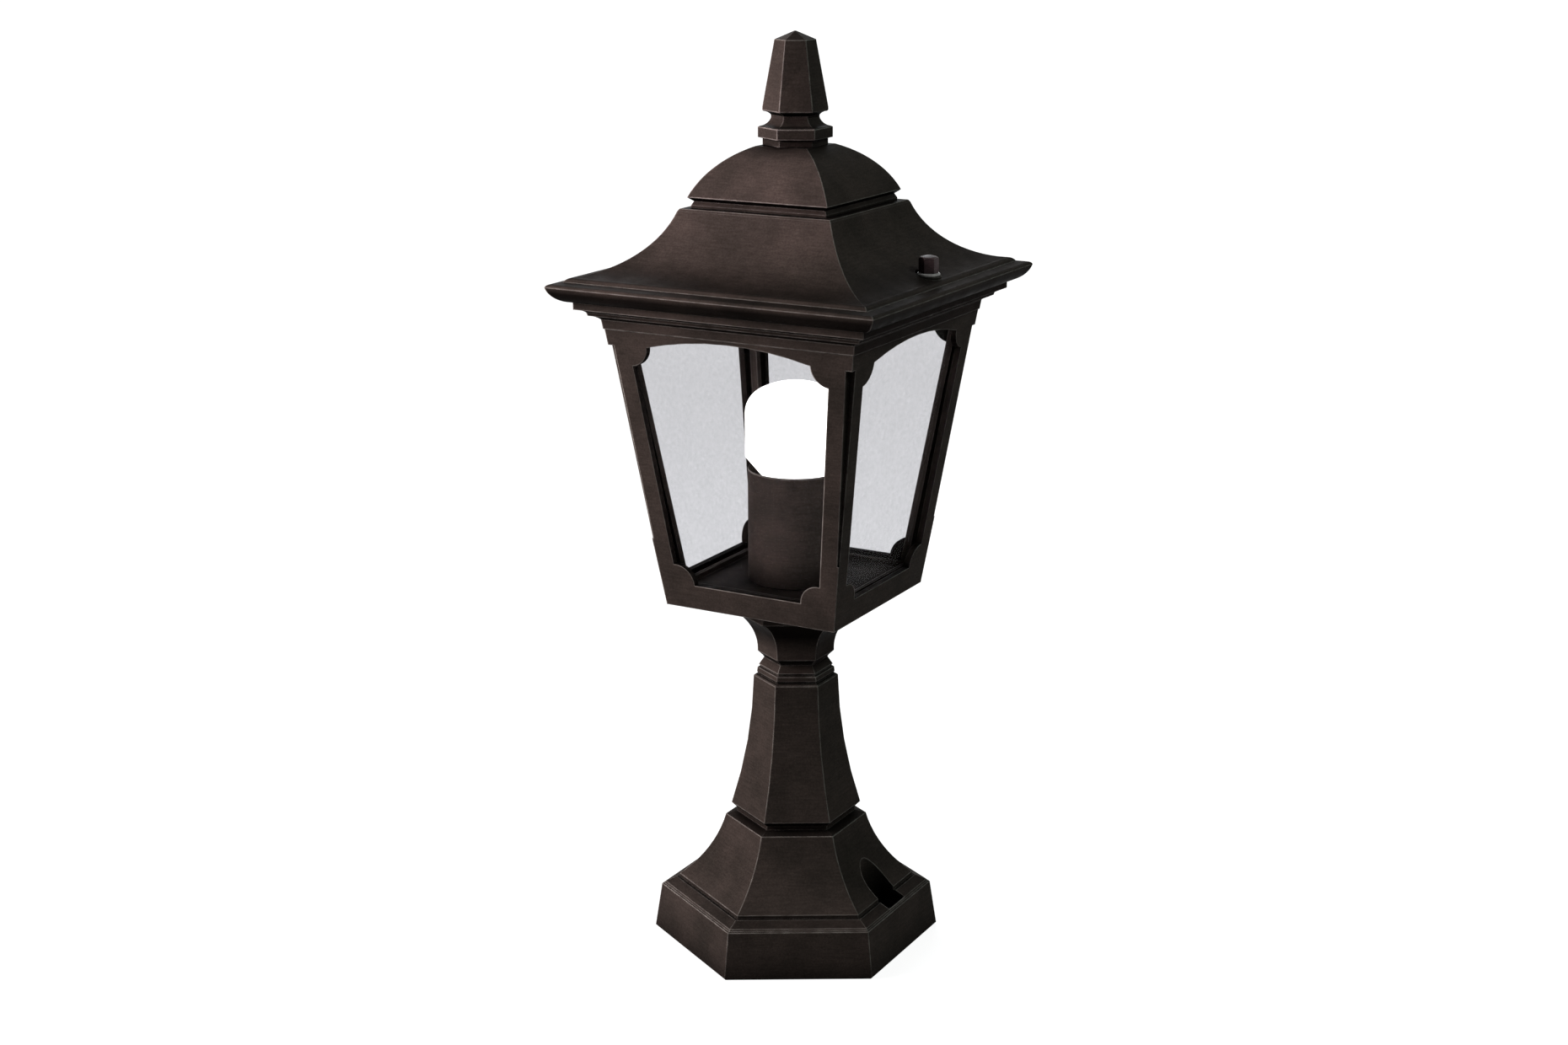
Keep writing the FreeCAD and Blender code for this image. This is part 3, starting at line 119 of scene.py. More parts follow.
def mix_colours(tree, share, first, second):
    """Fades from one colour to another."""
    return add(tree, "ShaderNodeMix", {"data_type": "RGBA"}, at0=share, at6=first,
               at7=second).outputs[2]


def bump(tree, height, millimetres, normal=None):
    """Turns a pattern into relief of this depth."""
    inputs = {"Height": height, "Strength": 1.0, "Distance": millimetres * MM}
    if normal is not None:
        inputs["Normal"] = normal
    return add(tree, "ShaderNodeBump", **inputs).outputs["Normal"]


def dress(piece, material):
    """Gives a mesh one material."""
    piece.data.materials.clear()
    piece.data.materials.append(material)


# %% [markdown]
# ## Powder coat on cast aluminium
#
# The coat is a brown so dark that it reads as black in the shade and as warm brown where light
# rakes over it. Castings have no sharp arrises: the mould leaves a radius of about a millimetre,
# the powder is thinner there, and handling polishes it. The Bevel node gives a rounded normal that
# catches the light, and where it differs from the flat one the arris takes a paler, smoother coat:
# partly real wear, and partly a painted highlight that stands in for light gleaming on the rounded
# edge.
#
# The rest is painted shade. Undersides and nearly level ledges are made darker in the colour, as
# they fall in shade under these lamps, and so are grooves and faces under overhangs. The Z of the
# rounded normal finds undersides and ledges, and an Ambient Occlusion node finds the grooves.
# Painted masks would do it too, but these follow any casting by themselves.

# %% The powder coat's tones, its paler arrises and its painted shade
SAMPLES = 6
COAT_DARK = (0.044, 0.0355, 0.0315, 1)
COAT_WARM = (0.074, 0.0565, 0.0505, 1)
# Arrises take this paler colour: partly wear, partly a painted highlight.
COAT_WORN_HIGHLIGHT = (0.410, 0.3700, 0.3480, 1)
GROOVE_REACH = 24
WORN_HIGHLIGHT_TURN = (0.998, 0.93)
WORN_HIGHLIGHT_OPEN = (0.60, 0.92)
# Painted shade: undersides, nearly level ledges and grooves keep only these shares of the coat's
# colour.
UNDERSIDE_Z, UNDERSIDE_SHADE = (-0.50, -0.12), 0.15
LEDGE_Z, LEDGE_SHADE = (0.80, 0.975), 0.36
GROOVE_OPEN, GROOVE_SHADE = (0.42, 0.95), 0.14
worn_highlight_angle = math.degrees(math.acos(WORN_HIGHLIGHT_TURN[1]))
print(f"an arris is fully worn where its normal turns {worn_highlight_angle:.0f} degrees")

# %% The powder coat


def powder_coat(name, dark, warm, arris=1.1, grain=0.06, shine=0.003):
    """Dark coat with warm patches and fine grain, paler on arrises from wear and a painted
    highlight, and darker with painted shade on undersides, ledges and grooves.
    """
    material, tree, shader, place = start_material(name)
    rounded = add(tree, "ShaderNodeBevel", {"samples": SAMPLES},
                  Radius=arris * MM).outputs["Normal"]
    flat = add(tree, "ShaderNodeNewGeometry").outputs["Normal"]
    facing = add(tree, "ShaderNodeVectorMath", {"operation": "DOT_PRODUCT"}, at0=rounded,
                 at1=flat).outputs["Value"]
    edge = remap(tree, facing, *WORN_HIGHLIGHT_TURN, 0.0, 1.0)
    breaks = remap(tree, noise(tree, place, 7, 3), 0.34, 0.62, 0.45, 1.0)
    room = add(tree, "ShaderNodeAmbientOcclusion", {"samples": SAMPLES},
               Distance=GROOVE_REACH * MM).outputs["AO"]
    in_the_open = remap(tree, room, *WORN_HIGHLIGHT_OPEN, 0.0, 1.0)
    # The paler arris is partly wear and partly a painted highlight.
    worn_and_highlighted = maths(tree, "MULTIPLY", maths(tree, "MULTIPLY", edge, breaks), in_the_open)
    # Painted shade on undersides and nearly level ledges, found by the Z of the rounded normal.
    lean = add(tree, "ShaderNodeSeparateXYZ", Vector=rounded).outputs["Z"]
    painted_underside_shade = remap(tree, lean, *UNDERSIDE_Z, UNDERSIDE_SHADE, 1.0)
    painted_ledge_shade = remap(tree, lean, *LEDGE_Z, 1.0, LEDGE_SHADE)
    painted_slope_shade = maths(tree, "MULTIPLY", painted_underside_shade, painted_ledge_shade)
    cloud = remap(tree, noise(tree, place, 38, 4, 0.62), 0.36, 0.66, 0.0, 1.0)
    ground = mix_colours(tree, cloud, dark, warm)
    speck = remap(tree, noise(tree, place, 1.1, 2, 0.6), 0.35, 0.7, 0.84, 1.14)
    streaks = add(tree, "ShaderNodeMapping", Vector=place, Scale=(1, 1, 9)).outputs[0]
    brushed = remap(tree, noise(tree, streaks, 9, 2, 0.6), 0.35, 0.65, 0.90, 1.10)
    # Painted shade in grooves and under overhangs, found by ambient occlusion.
    painted_groove_shade = remap(tree, room, *GROOVE_OPEN, GROOVE_SHADE, 1.0)
    tone = maths(tree, "MULTIPLY", maths(tree, "MULTIPLY", speck, brushed), painted_groove_shade)
    tone = maths(tree, "MULTIPLY", tone, painted_slope_shade)
    grained = add(tree, "ShaderNodeVectorMath", {"operation": "SCALE"}, at0=ground,
                  Scale=tone).outputs["Vector"]
    colour = mix_colours(tree, worn_and_highlighted, grained, COAT_WORN_HIGHLIGHT)
    tree.links.new(colour, shader.inputs["Base Color"])
    gloss = remap(tree, noise(tree, place, 9, 3), 0.3, 0.7, 0.40, 0.54)
    tree.links.new(maths(tree, "SUBTRACT", gloss, maths(tree, "MULTIPLY", worn_and_highlighted, 0.08)),
                   shader.inputs["Roughness"])
    peel = bump(tree, noise(tree, place, 1.6, 2, 0.5), grain, rounded)
    tree.links.new(bump(tree, noise(tree, place, 0.4, 1, 0.5), grain * 0.3, peel),
                   shader.inputs["Normal"])
    shader.inputs["Specular IOR Level"].default_value = shine
    return material


coat = powder_coat("powder_coat", COAT_DARK, COAT_WARM)
# The sleeve takes a slightly darker copy of the coat: painted shade for the tube inside the head.
sleeve_coat = powder_coat("sleeve_coat", (0.040, 0.0320, 0.0280, 1), (0.062, 0.0470, 0.0410, 1))
nut_coat = powder_coat("cap_nut_coat", (0.080, 0.052, 0.056, 1), (0.160, 0.105, 0.112, 1),
                       arris=0.4, grain=0.03, shine=0.05)
print("coats:", coat.name, sleeve_coat.name, nut_coat.name)

# %% [markdown]
# ## Glass
#
# The panes are clear, with the very slight waviness of drawn glass, fine flecks and a grey tint
# that takes some light out of the white behind them. They show next to no reflection, so their
# index of refraction stays close to one: the 1.5 of real glass would lay the white room over the
# dark floor of the head. A path tracer finds a lamp through glass only by chance, so rays that ask
# for shadows pass straight through a plain tint instead.

# %% The panes' glass
PANE_GREY = (0.785, 0.785, 0.80, 1)
PANE_GREY_DEEP = (0.735, 0.735, 0.75, 1)
PANE_IOR = 1.03
PANE_WAVES = 0.02


def clear_glass(name):
    """Wavy grey glass that lets lamp light through."""
    material, tree, shader, place = start_material(name)
    wide = mix_colours(tree, noise(tree, place, 16, 3, 0.6), PANE_GREY, PANE_GREY_DEEP)
    fleck = remap(tree, noise(tree, place, 2.4, 2, 0.55), 0.3, 0.7, 0.955, 1.04)
    tint = add(tree, "ShaderNodeVectorMath", {"operation": "SCALE"}, at0=wide,
               Scale=fleck).outputs["Vector"]
    tree.links.new(tint, shader.inputs["Base Color"])
    shader.inputs["Transmission Weight"].default_value = 1.0
    shader.inputs["Roughness"].default_value = 0.0
    shader.inputs["IOR"].default_value = PANE_IOR
    waves = maths(tree, "ADD", noise(tree, place, 9, 2),
                  maths(tree, "MULTIPLY", noise(tree, place, 3, 2), 0.3))
    tree.links.new(bump(tree, waves, PANE_WAVES), shader.inputs["Normal"])
    through = add(tree, "ShaderNodeBsdfTransparent", Color=tint).outputs[0]
    shadow = add(tree, "ShaderNodeLightPath").outputs["Is Shadow Ray"]
    either = add(tree, "ShaderNodeMixShader", Fac=shadow, at1=shader.outputs[0], at2=through)
    tree.links.new(either.outputs[0], tree.nodes["Material Output"].inputs["Surface"])
    return material


pane_glass = clear_glass("pane_glass")
print("glass:", pane_glass.name)

# %% [markdown]
# ## Small metals, plastics and rubber
#
# The fixings are zinc plated, the lampholder is moulded phenolic, and the contacts are brass. They
# could be nine hand-made materials, but none is more than one recipe with its own colours: two
# tones that a noise fades between, a roughness that wanders, and relief at that material's own
# scale. One function keeps them in one family.

# %% A recipe for the small parts


def plain_finish(name, first, second, patch, rough, grain, depth, metallic=0.0):
    """Two tones in patches, a wandering roughness and a fine relief."""
    material, tree, shader, place = start_material(name)
    share = remap(tree, noise(tree, place, patch, 3), 0.35, 0.65, 0.0, 1.0)
    tree.links.new(mix_colours(tree, share, (*first, 1), (*second, 1)),
                   shader.inputs["Base Color"])
    wander = remap(tree, noise(tree, place, patch / 2, 2), 0.3, 0.7, rough - 0.06, rough + 0.06)
    tree.links.new(wander, shader.inputs["Roughness"])
    tree.links.new(bump(tree, noise(tree, place, grain, 2), depth), shader.inputs["Normal"])
    shader.inputs["Metallic"].default_value = metallic
    return material


zinc = plain_finish("zinc_plate", (0.42, 0.43, 0.45), (0.55, 0.55, 0.54), 4, 0.34, 0.5, 0.01, 1.0)
flange_steel = plain_finish("flange_steel", (0.12, 0.12, 0.115), (0.20, 0.20, 0.19), 3, 0.42, 0.5,
                            0.02, 0.6)
stainless = plain_finish("stainless_steel", (0.46, 0.46, 0.47), (0.56, 0.56, 0.57), 6, 0.26, 0.4,
                         0.006, 1.0)
brass = plain_finish("brass", (0.62, 0.42, 0.16), (0.74, 0.53, 0.24), 5, 0.28, 0.5, 0.008, 1.0)
cap_metal = plain_finish("lamp_cap_metal", (0.60, 0.58, 0.54), (0.72, 0.70, 0.66), 5, 0.25, 0.6,
                         0.008, 1.0)
rubber = plain_finish("black_rubber", (0.012, 0.012, 0.012), (0.022, 0.021, 0.020), 8, 0.78, 0.6,
                      0.05)
phenolic = plain_finish("black_phenolic", (0.011, 0.010, 0.010), (0.019, 0.017, 0.016), 10, 0.40,
                        0.8, 0.02)
black_glass = plain_finish("black_insulator_glass", (0.008, 0.008, 0.010), (0.014, 0.014, 0.016),
                           4, 0.10, 1.5, 0.01)
white_nylon = plain_finish("white_nylon", (0.72, 0.72, 0.70), (0.79, 0.79, 0.77), 8, 0.45, 0.5,
                           0.02)
print("materials so far:", len(bpy.data.materials))

# %% [markdown]
# ## The lit lamp
#
# The bulb is opal glass with the light behind it, so it burns out to white in a photograph. A
# lamp inside a translucent shell would do that slowly and with much noise. Emission of a few times
# white on the shell itself looks the same, and lights the head's inside only as far as it should:
# the outside of a lantern in daylight takes its light from the room.

# %% Opal glass, lit
LAMP_GLOW = 3.0


def lit_opal(name):
    """White glass that glows evenly."""
    material, tree, shader, place = start_material(name)
    shader.inputs["Base Color"].default_value = (0.9, 0.89, 0.86, 1)
    shader.inputs["Roughness"].default_value = 0.25
    tone = mix_colours(tree, noise(tree, place, 30, 1), (1.0, 0.985, 0.95, 1),
                       (1.0, 0.995, 0.98, 1))
    tree.links.new(tone, shader.inputs["Emission Color"])
    shader.inputs["Emission Strength"].default_value = LAMP_GLOW
    return material


opal = lit_opal("lit_opal_glass")
print("the bulb glows at", LAMP_GLOW, "times white")

# %% [markdown]
# ## A section carried round the axis
#
# Foot, column, cup, head, roof, dome and finial are all one idea: a section drawn from the middle
# of a flat face, carried round the axis with four or six flat sides that meet in mitres. The bulb
# and the sleeve are the same with ninety-six sides, and a screw thread is the same again with a
# groove that climbs one pitch in each turn. A lathe tool or a hand-built mesh would do each of
# them, but one small Geometry Nodes tree does all: it lays out a grid with one column of points
# for each side, looks up the section's point for each row, and pushes the points out to the
# corners, which stand further off than the flats by one over the cosine of half a side's angle.

# %% The tree that carries a section round


def input_sockets(tree, *sockets):
    """Gives a tree its named inputs and its one output, and returns the group input node."""
    for label, kind in sockets:
        tree.interface.new_socket(label, in_out="INPUT", socket_type="NodeSocket" + kind)
    tree.interface.new_socket("Made", in_out="OUTPUT", socket_type="NodeSocketGeometry")
    return tree.nodes.new("NodeGroupInput").outputs


def close_tree(tree, shape, finish):
    """Ends a tree with real geometry in one finish."""
    real = add(tree, "GeometryNodeRealizeInstances", Geometry=shape).outputs[0]
    dressed = add(tree, "GeometryNodeSetMaterial", Geometry=real, Material=finish).outputs[0]
    add(tree, "NodeGroupOutput", at0=dressed)


def around_tree():
    """Carries a section, drawn in the plane of X and Z, round the Z axis."""
    tree = bpy.data.node_groups.new("section_round_axis", "GeometryNodeTree")
    given = input_sockets(tree, ("Section", "Geometry"), ("Sides", "Int"), ("Middle", "Vector"),
                          ("Pitch", "Float"), ("Groove", "Float"), ("Core", "Float"),
                          ("Finish", "Material"))
    rows = add(tree, "GeometryNodeAttributeDomainSize", Geometry=given["Section"]).outputs[0]
    columns = maths(tree, "ADD", given["Sides"], 1)
    grid = add(tree, "GeometryNodeMeshGrid", Vertices_X=columns, Vertices_Y=rows).outputs["Mesh"]
    index = tree.nodes.new("GeometryNodeInputIndex").outputs[0]
    row = maths(tree, "MODULO", index, rows)
    side = maths(tree, "FLOOR", maths(tree, "DIVIDE", index, rows))
    here = tree.nodes.new("GeometryNodeInputPosition").outputs[0]
    point = add(tree, "GeometryNodeSampleIndex", {"data_type": "FLOAT_VECTOR"},
                Geometry=given["Section"], Value=here, Index=row).outputs[0]
    split = add(tree, "ShaderNodeSeparateXYZ", Vector=point).outputs
    angle = maths(tree, "DIVIDE", math.tau, given["Sides"])
    turn = maths(tree, "MULTIPLY", maths(tree, "ADD", side, 0.5), angle)
    climb = maths(tree, "SUBTRACT", maths(tree, "DIVIDE", split["Z"], given["Pitch"]),
                  maths(tree, "DIVIDE", turn, math.tau))
    wave = maths(tree, "COSINE", maths(tree, "MULTIPLY", climb, math.tau))
    dip = maths(tree, "MULTIPLY", maths(tree, "SUBTRACT", wave, 1), given["Groove"])
    outside = maths(tree, "GREATER_THAN", split["X"], given["Core"])
    flat = maths(tree, "ADD", split["X"], maths(tree, "MULTIPLY", dip, outside))
    reach = maths(tree, "DIVIDE", flat, maths(tree, "COSINE", maths(tree, "DIVIDE", angle, 2)))
    spot = add(tree, "ShaderNodeCombineXYZ",
               X=maths(tree, "MULTIPLY", reach, maths(tree, "COSINE", turn)),
               Y=maths(tree, "MULTIPLY", reach, maths(tree, "SINE", turn)), Z=split["Z"])
    moved = add(tree, "ShaderNodeVectorMath", {"operation": "ADD"}, at0=spot.outputs[0],
                at1=given["Middle"])
    placed = add(tree, "GeometryNodeSetPosition", Geometry=grid, Position=moved.outputs[0])
    welded = add(tree, "GeometryNodeMergeByDistance", Geometry=placed.outputs[0], Distance=1e-6)
    close_tree(tree, welded.outputs[0], given["Finish"])
    return tree


AROUND = around_tree()
print("inputs:", [item.name for item in AROUND.interface.items_tree if item.in_out == "INPUT"])

# %% [markdown]
# ## Drawing a section
#
# A section is a list of corners, each one a distance from the axis and a height in millimetres.
# A corner may add a bow and a side: then the run that leads to it is an arc, which bows by that
# much, with its centre on the left of the way (1, a rounded form) or on the right (-1, a hollow).
# Arcs are divided every few degrees, so the light runs smoothly over them.

# %% Runs and arcs
ARC_STEP = 4


def along(corners):
    """The points of a section or an outline, with its arcs divided."""
    points = [tuple(corners[0][:2])]
    for corner in corners[1:]:
        (x0, z0), (x1, z1) = points[-1], corner[:2]
        if len(corner) == 4:
            bow, side = corner[2:]
            run = math.hypot(x1 - x0, z1 - z0)
            radius = (run * run / 4 + bow * bow) / (2 * bow)
            sweep = 2 * math.asin(min(1.0, run / (2 * radius)))
            middle_x = (x0 + x1) / 2 + side * (radius - bow) * (z0 - z1) / run
            middle_z = (z0 + z1) / 2 + side * (radius - bow) * (x1 - x0) / run
            start = math.atan2(z0 - middle_z, x0 - middle_x)
            steps = max(3, math.ceil(math.degrees(sweep) / ARC_STEP))
            for step in range(1, steps):
                turn = start + side * sweep * step / steps
                points.append((middle_x + radius * math.cos(turn),
                               middle_z + radius * math.sin(turn)))
        points.append((x1, z1))
    return points


# %% [markdown]
# A modifier's inputs are set by their identifiers before the object is first evaluated. The
# evaluated mesh then replaces the section, so what rides on the lantern is a plain mesh.

# %% From modifier to plain mesh


def settle(piece):
    """Replaces a piece's mesh by what its modifiers make of it."""
    graph = bpy.context.evaluated_depsgraph_get()
    mesh = bpy.data.meshes.new_from_object(piece.evaluated_get(graph))
    piece.modifiers.clear()
    piece.data = mesh
    mesh.name = piece.name
    return piece


def run_tree(piece, tree, **inputs):
    """Puts a tree on a piece with these inputs, and settles the result."""
    modifier = piece.modifiers.new("shape", "NODES")
    modifier.node_group = tree
    for item in tree.interface.items_tree:
        key = item.name.replace(" ", "_")
        if item.in_out == "INPUT" and key in inputs:
            modifier[item.identifier] = inputs[key]
    return settle(piece)


def new_piece(name, points, edges=(), faces=()):
    """An object at the origin with a mesh of points in millimetres."""
    mesh = bpy.data.meshes.new(name)
    mesh.from_pydata([Vector(point) * MM for point in points], edges, faces)
    piece = bpy.data.objects.new(name, mesh)
    bpy.context.collection.objects.link(piece)
    return piece


def carry_round(name, sides, corners, finish=coat, middle=(0, 0, 0), pitch=1, groove=0, core=0):
    """A closed casting from its section, its number of sides and its finish."""
    section = [(x, 0, z) for x, z in along(corners)]
    on_axis = corners[0][0] == 0 and corners[-1][0] == 0
    if not on_axis:
        section.append(section[0])
    chain = [(step, step + 1) for step in range(len(section) - 1)]
    piece = new_piece(name, section, chain)
    return run_tree(piece, AROUND, Sides=sides, Middle=[v * MM for v in middle], Finish=finish,
                    Pitch=pitch * MM, Groove=groove / 2 * MM, Core=core * MM)


# %% [markdown]
# ## Cutting, joining and tidying
#
# Wells, windows and holes could be modelled face by face, but the exact Boolean solver cuts them
# as a mill would, from plain tools at their real sizes. After that the doubles are merged, stray
# edges go, small gaps where three cuts meet are filled, and every face is turned outwards. Edges
# sharper than a few degrees are kept sharp, so flat faces stay flat while the arcs between them
# are shaded smoothly.

# %% Booleans and a tidy mesh
CREASE = 12
WELD, SLIVER = 2e-6, 1e-6
GAP_SIDES = 8


def combine(operation, piece, *tools):
    """Cuts tools out of a piece, or joins them to it, and removes the tools."""
    for tool in tools:
        step = piece.modifiers.new("step", "BOOLEAN")
        step.operation = operation
        step.solver = "EXACT"
        step.object = tool
        settle(piece)
        bpy.data.objects.remove(tool)
    return piece


def tidy(piece, finish):
    """Closes and cleans a mesh, turns its faces outwards, keeps creases, gives the finish."""
    work = bmesh.new()
    work.from_mesh(piece.data)
    bmesh.ops.remove_doubles(work, verts=work.verts, dist=WELD)
    bmesh.ops.dissolve_degenerate(work, edges=work.edges, dist=SLIVER)
    wires = [edge for edge in work.edges if not edge.link_faces]
    bmesh.ops.delete(work, geom=wires, context="EDGES")
    rims = [edge for edge in work.edges if edge.is_boundary]
    bmesh.ops.holes_fill(work, edges=rims, sides=GAP_SIDES)
    bmesh.ops.recalc_face_normals(work, faces=work.faces)
    volume = work.calc_volume(signed=True) / (10 * MM) ** 3
    loose = sum(len(edge.link_faces) != 2 for edge in work.edges)
    for face in work.faces:
        face.material_index = 0
    work.to_mesh(piece.data)
    work.free()
    piece.data.shade_smooth()
    piece.data.set_sharp_from_angle(angle=math.radians(CREASE))
    dress(piece, finish)
    print(f"{piece.name}: {len(piece.data.polygons)} faces, {volume:.1f} cm3, {loose} open")
    return piece


def stand_for(piece, body, node):
    """Lets a piece ride on a body in the place of a solid."""
    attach(piece, body)
    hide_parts(node)


# %% [markdown]
# ## Shapes for the cutters
#
# Round holes are sections carried round like everything else. Slots and windows are prisms, and
# the strips in the head's corners lean with its faces, so they are blocks whose two ends differ.

# %% Prisms, posts and leaning blocks
ROUND = 48


def post(radius, low, high, across=0, sides=ROUND):
    """A round post between two heights, at a distance along X."""
    corners = [(0, low), (radius, low), (radius, high), (0, high)]
    return carry_round("post", sides, corners, middle=(across, 0, 0))


def block(low, high, low_top=None, high_top=None):
    """A block between two corners. Its top may have its own rectangle, so that it leans."""
    low_top = low_top or low[:2]
    high_top = high_top or high[:2]
    points = []
    for (x0, y0), (x1, y1), z in ((low[:2], high[:2], low[2]), (low_top, high_top, high[2])):
        points += [(x0, y0, z), (x1, y0, z), (x1, y1, z), (x0, y1, z)]
    faces = [(3, 2, 1, 0), (4, 5, 6, 7)]
    faces += [(i, (i + 1) % 4, (i + 1) % 4 + 4, i + 4) for i in range(4)]
    return new_piece("block", points, faces=faces)


def through_cut(outline, reach, along_x):
    """A prism with this outline that runs right through the head."""
    count = len(outline)
    points = []
    for depth in (-reach, reach):
        points += [(depth, x, z) if along_x else (x, depth, z) for x, z in outline]
    faces = [tuple(range(count)), tuple(reversed(range(count, 2 * count)))]
    faces += [(i, i + count, (i + 1) % count + count, (i + 1) % count) for i in range(count)]
    piece = new_piece("window", points, faces=faces)
    work = bmesh.new()
    work.from_mesh(piece.data)
    bmesh.ops.recalc_face_normals(work, faces=work.faces)
    work.to_mesh(piece.data)
    work.free()
    return piece

# %% [markdown]
# ## The foot
#
# The foot is a hollow hexagonal casting: a heavy upright rim, a sloping moulded band, a long
# hollow flare and a recessed neck. Two wells let a screwdriver down to the screws that hold the
# lantern to its pillar. The solid has the same forms in plainer lines. The light follows the
# flare's curve, so the casting is carried round again here with a finer section. Each well is a
# round post with a straight way out towards the rim. The casting has a wall round it, which is
# trimmed by the foot's own outside.

# %% The foot's section
HEX, SQUARE = 6, 4
FOOT_TOP = 82
FOOT_OUTSIDE = [(76.3, 0), (77.5, 1.2), (73.6, 29.6), (72.4, 30.1), (71.7, 31.2), (65.5, 34.2),
                (63.8, 34.2), (63.8, 36.4), (38.1, 77.0, 3.9, -1), (32, 78.8), (32, 82)]
FOOT_INSIDE = [(27, 82), (27, 85), (5.3, 85), (5.3, 75), (27, 75), (27, 72.1), (39.9, 49.4),
               (58.8, 31.4), (68.6, 24.6), (71.5, 0)]
WELL_AT, WELL_END = 57.5, 71.5
WELL_RADIUS, WALL_RADIUS, WELL_FLOOR = 10.5, 14, 6
FIXING_RADIUS = 4.25
print("points in the foot's section:", len(along(FOOT_OUTSIDE + FOOT_INSIDE)))

# %% The foot's casting and its wells


def well_shape(side, radius, low, high=90):
    """A round post with a straight way outwards, on one side of the foot."""
    ends = sorted((WELL_AT * side, WELL_END * side))
    way = block((ends[0], -radius, low), (ends[1], radius, high))
    return combine("UNION", post(radius, low, high, WELL_AT * side), way)


foot = carry_round("foot_casting", HEX, FOOT_OUTSIDE + FOOT_INSIDE)
for side in (1, -1):
    wall = well_shape(side, WALL_RADIUS, 0)
    full = carry_round("full", HEX, [(0, 0)] + FOOT_OUTSIDE + [(0, FOOT_TOP)])
    combine("UNION", foot, combine("INTERSECT", wall, full))
for side in (1, -1):
    combine("DIFFERENCE", foot, well_shape(side, WELL_RADIUS, WELL_FLOOR),
            post(FIXING_RADIUS, -1, WELL_FLOOR + 1, WELL_AT * side))
stand_for(tidy(foot, coat), "lantern", "foot")

# %% [markdown]
# ## Column and neck cup
#
# The column narrows in one long hollow curve to two small rings, and the cup opens out again
# under the head. A stack of bevelled prisms would come close, but a section with one arc in it is
# truer and has fewer faces, and the mitres at the six corners come by themselves.

# %% The column
COLUMN = [(32.6, 82), (35, 84.6), (22.6, 169, 2.7, -1), (22, 169.6), (20.2, 170.3), (20.8, 171.5),
          (20.5, 174.4), (19.2, 175), (19.2, 175.6), (19.8, 176.2), (17, 180.9), (9, 180.9),
          (9, 183.9), (5.3, 183.9), (5.3, 173.9), (14.7, 173.9), (18, 164.4), (27.3, 85.3),
          (27.3, 82)]
column = carry_round("column_casting", HEX, COLUMN)
stand_for(tidy(column, coat), "lantern", "column")

# %% The neck cup
NECK_CUP = [(17, 180.9), (17.6, 182.1), (20.4, 185), (34, 211.6, 4, -1), (35.5, 212.2),
            (35.5, 228.5), (30.9, 228.5), (28.5, 211.6), (18.6, 200.5), (15.8, 185.9), (5.3, 185.9),
            (5.3, 184.2), (9.3, 184.2), (9.3, 180.9)]
neck_cup = carry_round("neck_cup_casting", HEX, NECK_CUP)
stand_for(tidy(neck_cup, coat), "lantern", "neck_cup")

# %% [markdown]
# ## The head
#
# Four leaning faces, a frieze, a cornice with two small coves and a floor make up the head. Each
# face has a window with a shallow arch above and a rounded lobe in each corner. The outside
# corners carry a rebate that starts 1 mm deep and runs out 4 mm deep under the frieze. Behind
# them stand the webs and bars that hold the edges of the glass. The head could be four flat frames
# set together. It is one casting, so it is made as one: a closed shell with the windows cut right
# through it, and the strips joined on.

# %% The head's section
HEAD_LOW, HEAD_HALF, LEAN = 222, 57.2, 0.1428
HEAD = [(57.2, 222), (81.547, 392.5), (82.147, 392.5), (82.933, 398), (88.4, 400.6, 0.55, -1),
        (89, 402.6), (94.4, 404.6, 0.55, -1), (94.4, 408.9), (80.5, 408.9), (80.5, 400.9),
        (78.747, 400.9), (54.699, 232.5), (5.3, 232.5), (5.3, 228.5), (53.2, 228.5), (53.2, 222)]
head = carry_round("lantern_frame_casting", SQUARE, HEAD)


def head_half(height):
    """Half the width across the head's leaning faces at a height."""
    return HEAD_HALF + LEAN * (height - HEAD_LOW)


# %% The windows
WINDOW_SIDE = [(36.1, 237.2), (49.54, 249.2, 4, -1), (64.254, 371.6), (53.696, 383.6, 3, -1)]
CROWN = (-53.696, 383.6, 6.7, 1)
HEAD_REACH = 130
LEFT_SIDE = [(-64.254, 371.6, 3, -1), (-49.54, 249.2), (-36.1, 237.2, 4, -1)]
outline = along(WINDOW_SIDE + [CROWN] + LEFT_SIDE)
for along_x in (False, True):
    combine("DIFFERENCE", head, through_cut(outline, HEAD_REACH, along_x))
print("points in the window's outline:", len(outline))

# %% [markdown]
# Each corner strip is one leaning block, drawn once for the corner between +X and +Y and turned
# to the other three.

# %% Strips and rebates in the corners
FLOOR_TOP, CHANNEL_TOP, GLASS_TOP = 232.5, 400.9, 394.1
OVERLAP = 0.5
WEB, BAR = (9.35, 2), (12.0, 7.3)
REBATE_LOW, REBATE_TOP = 264, 383
REBATE_START, REBATE_END = 1, 4


def corner_blocks(low, high, near_low, far_low, near_high, far_high):
    """A leaning block in each of the head's four corners."""
    made = []
    for turn in range(4):
        piece = block((near_low, near_low, low), (far_low, far_low, high),
                      (near_high, near_high), (far_high, far_high))
        piece.data.transform(Matrix.Rotation(math.radians(90 * turn), 4, "Z"))
        made.append(piece)
    return made


def strips(low, high, near, far):
    """Corner strips between two distances in from the faces."""
    return corner_blocks(low, high, head_half(low) - near, head_half(low) - far,
                         head_half(high) - near, head_half(high) - far)


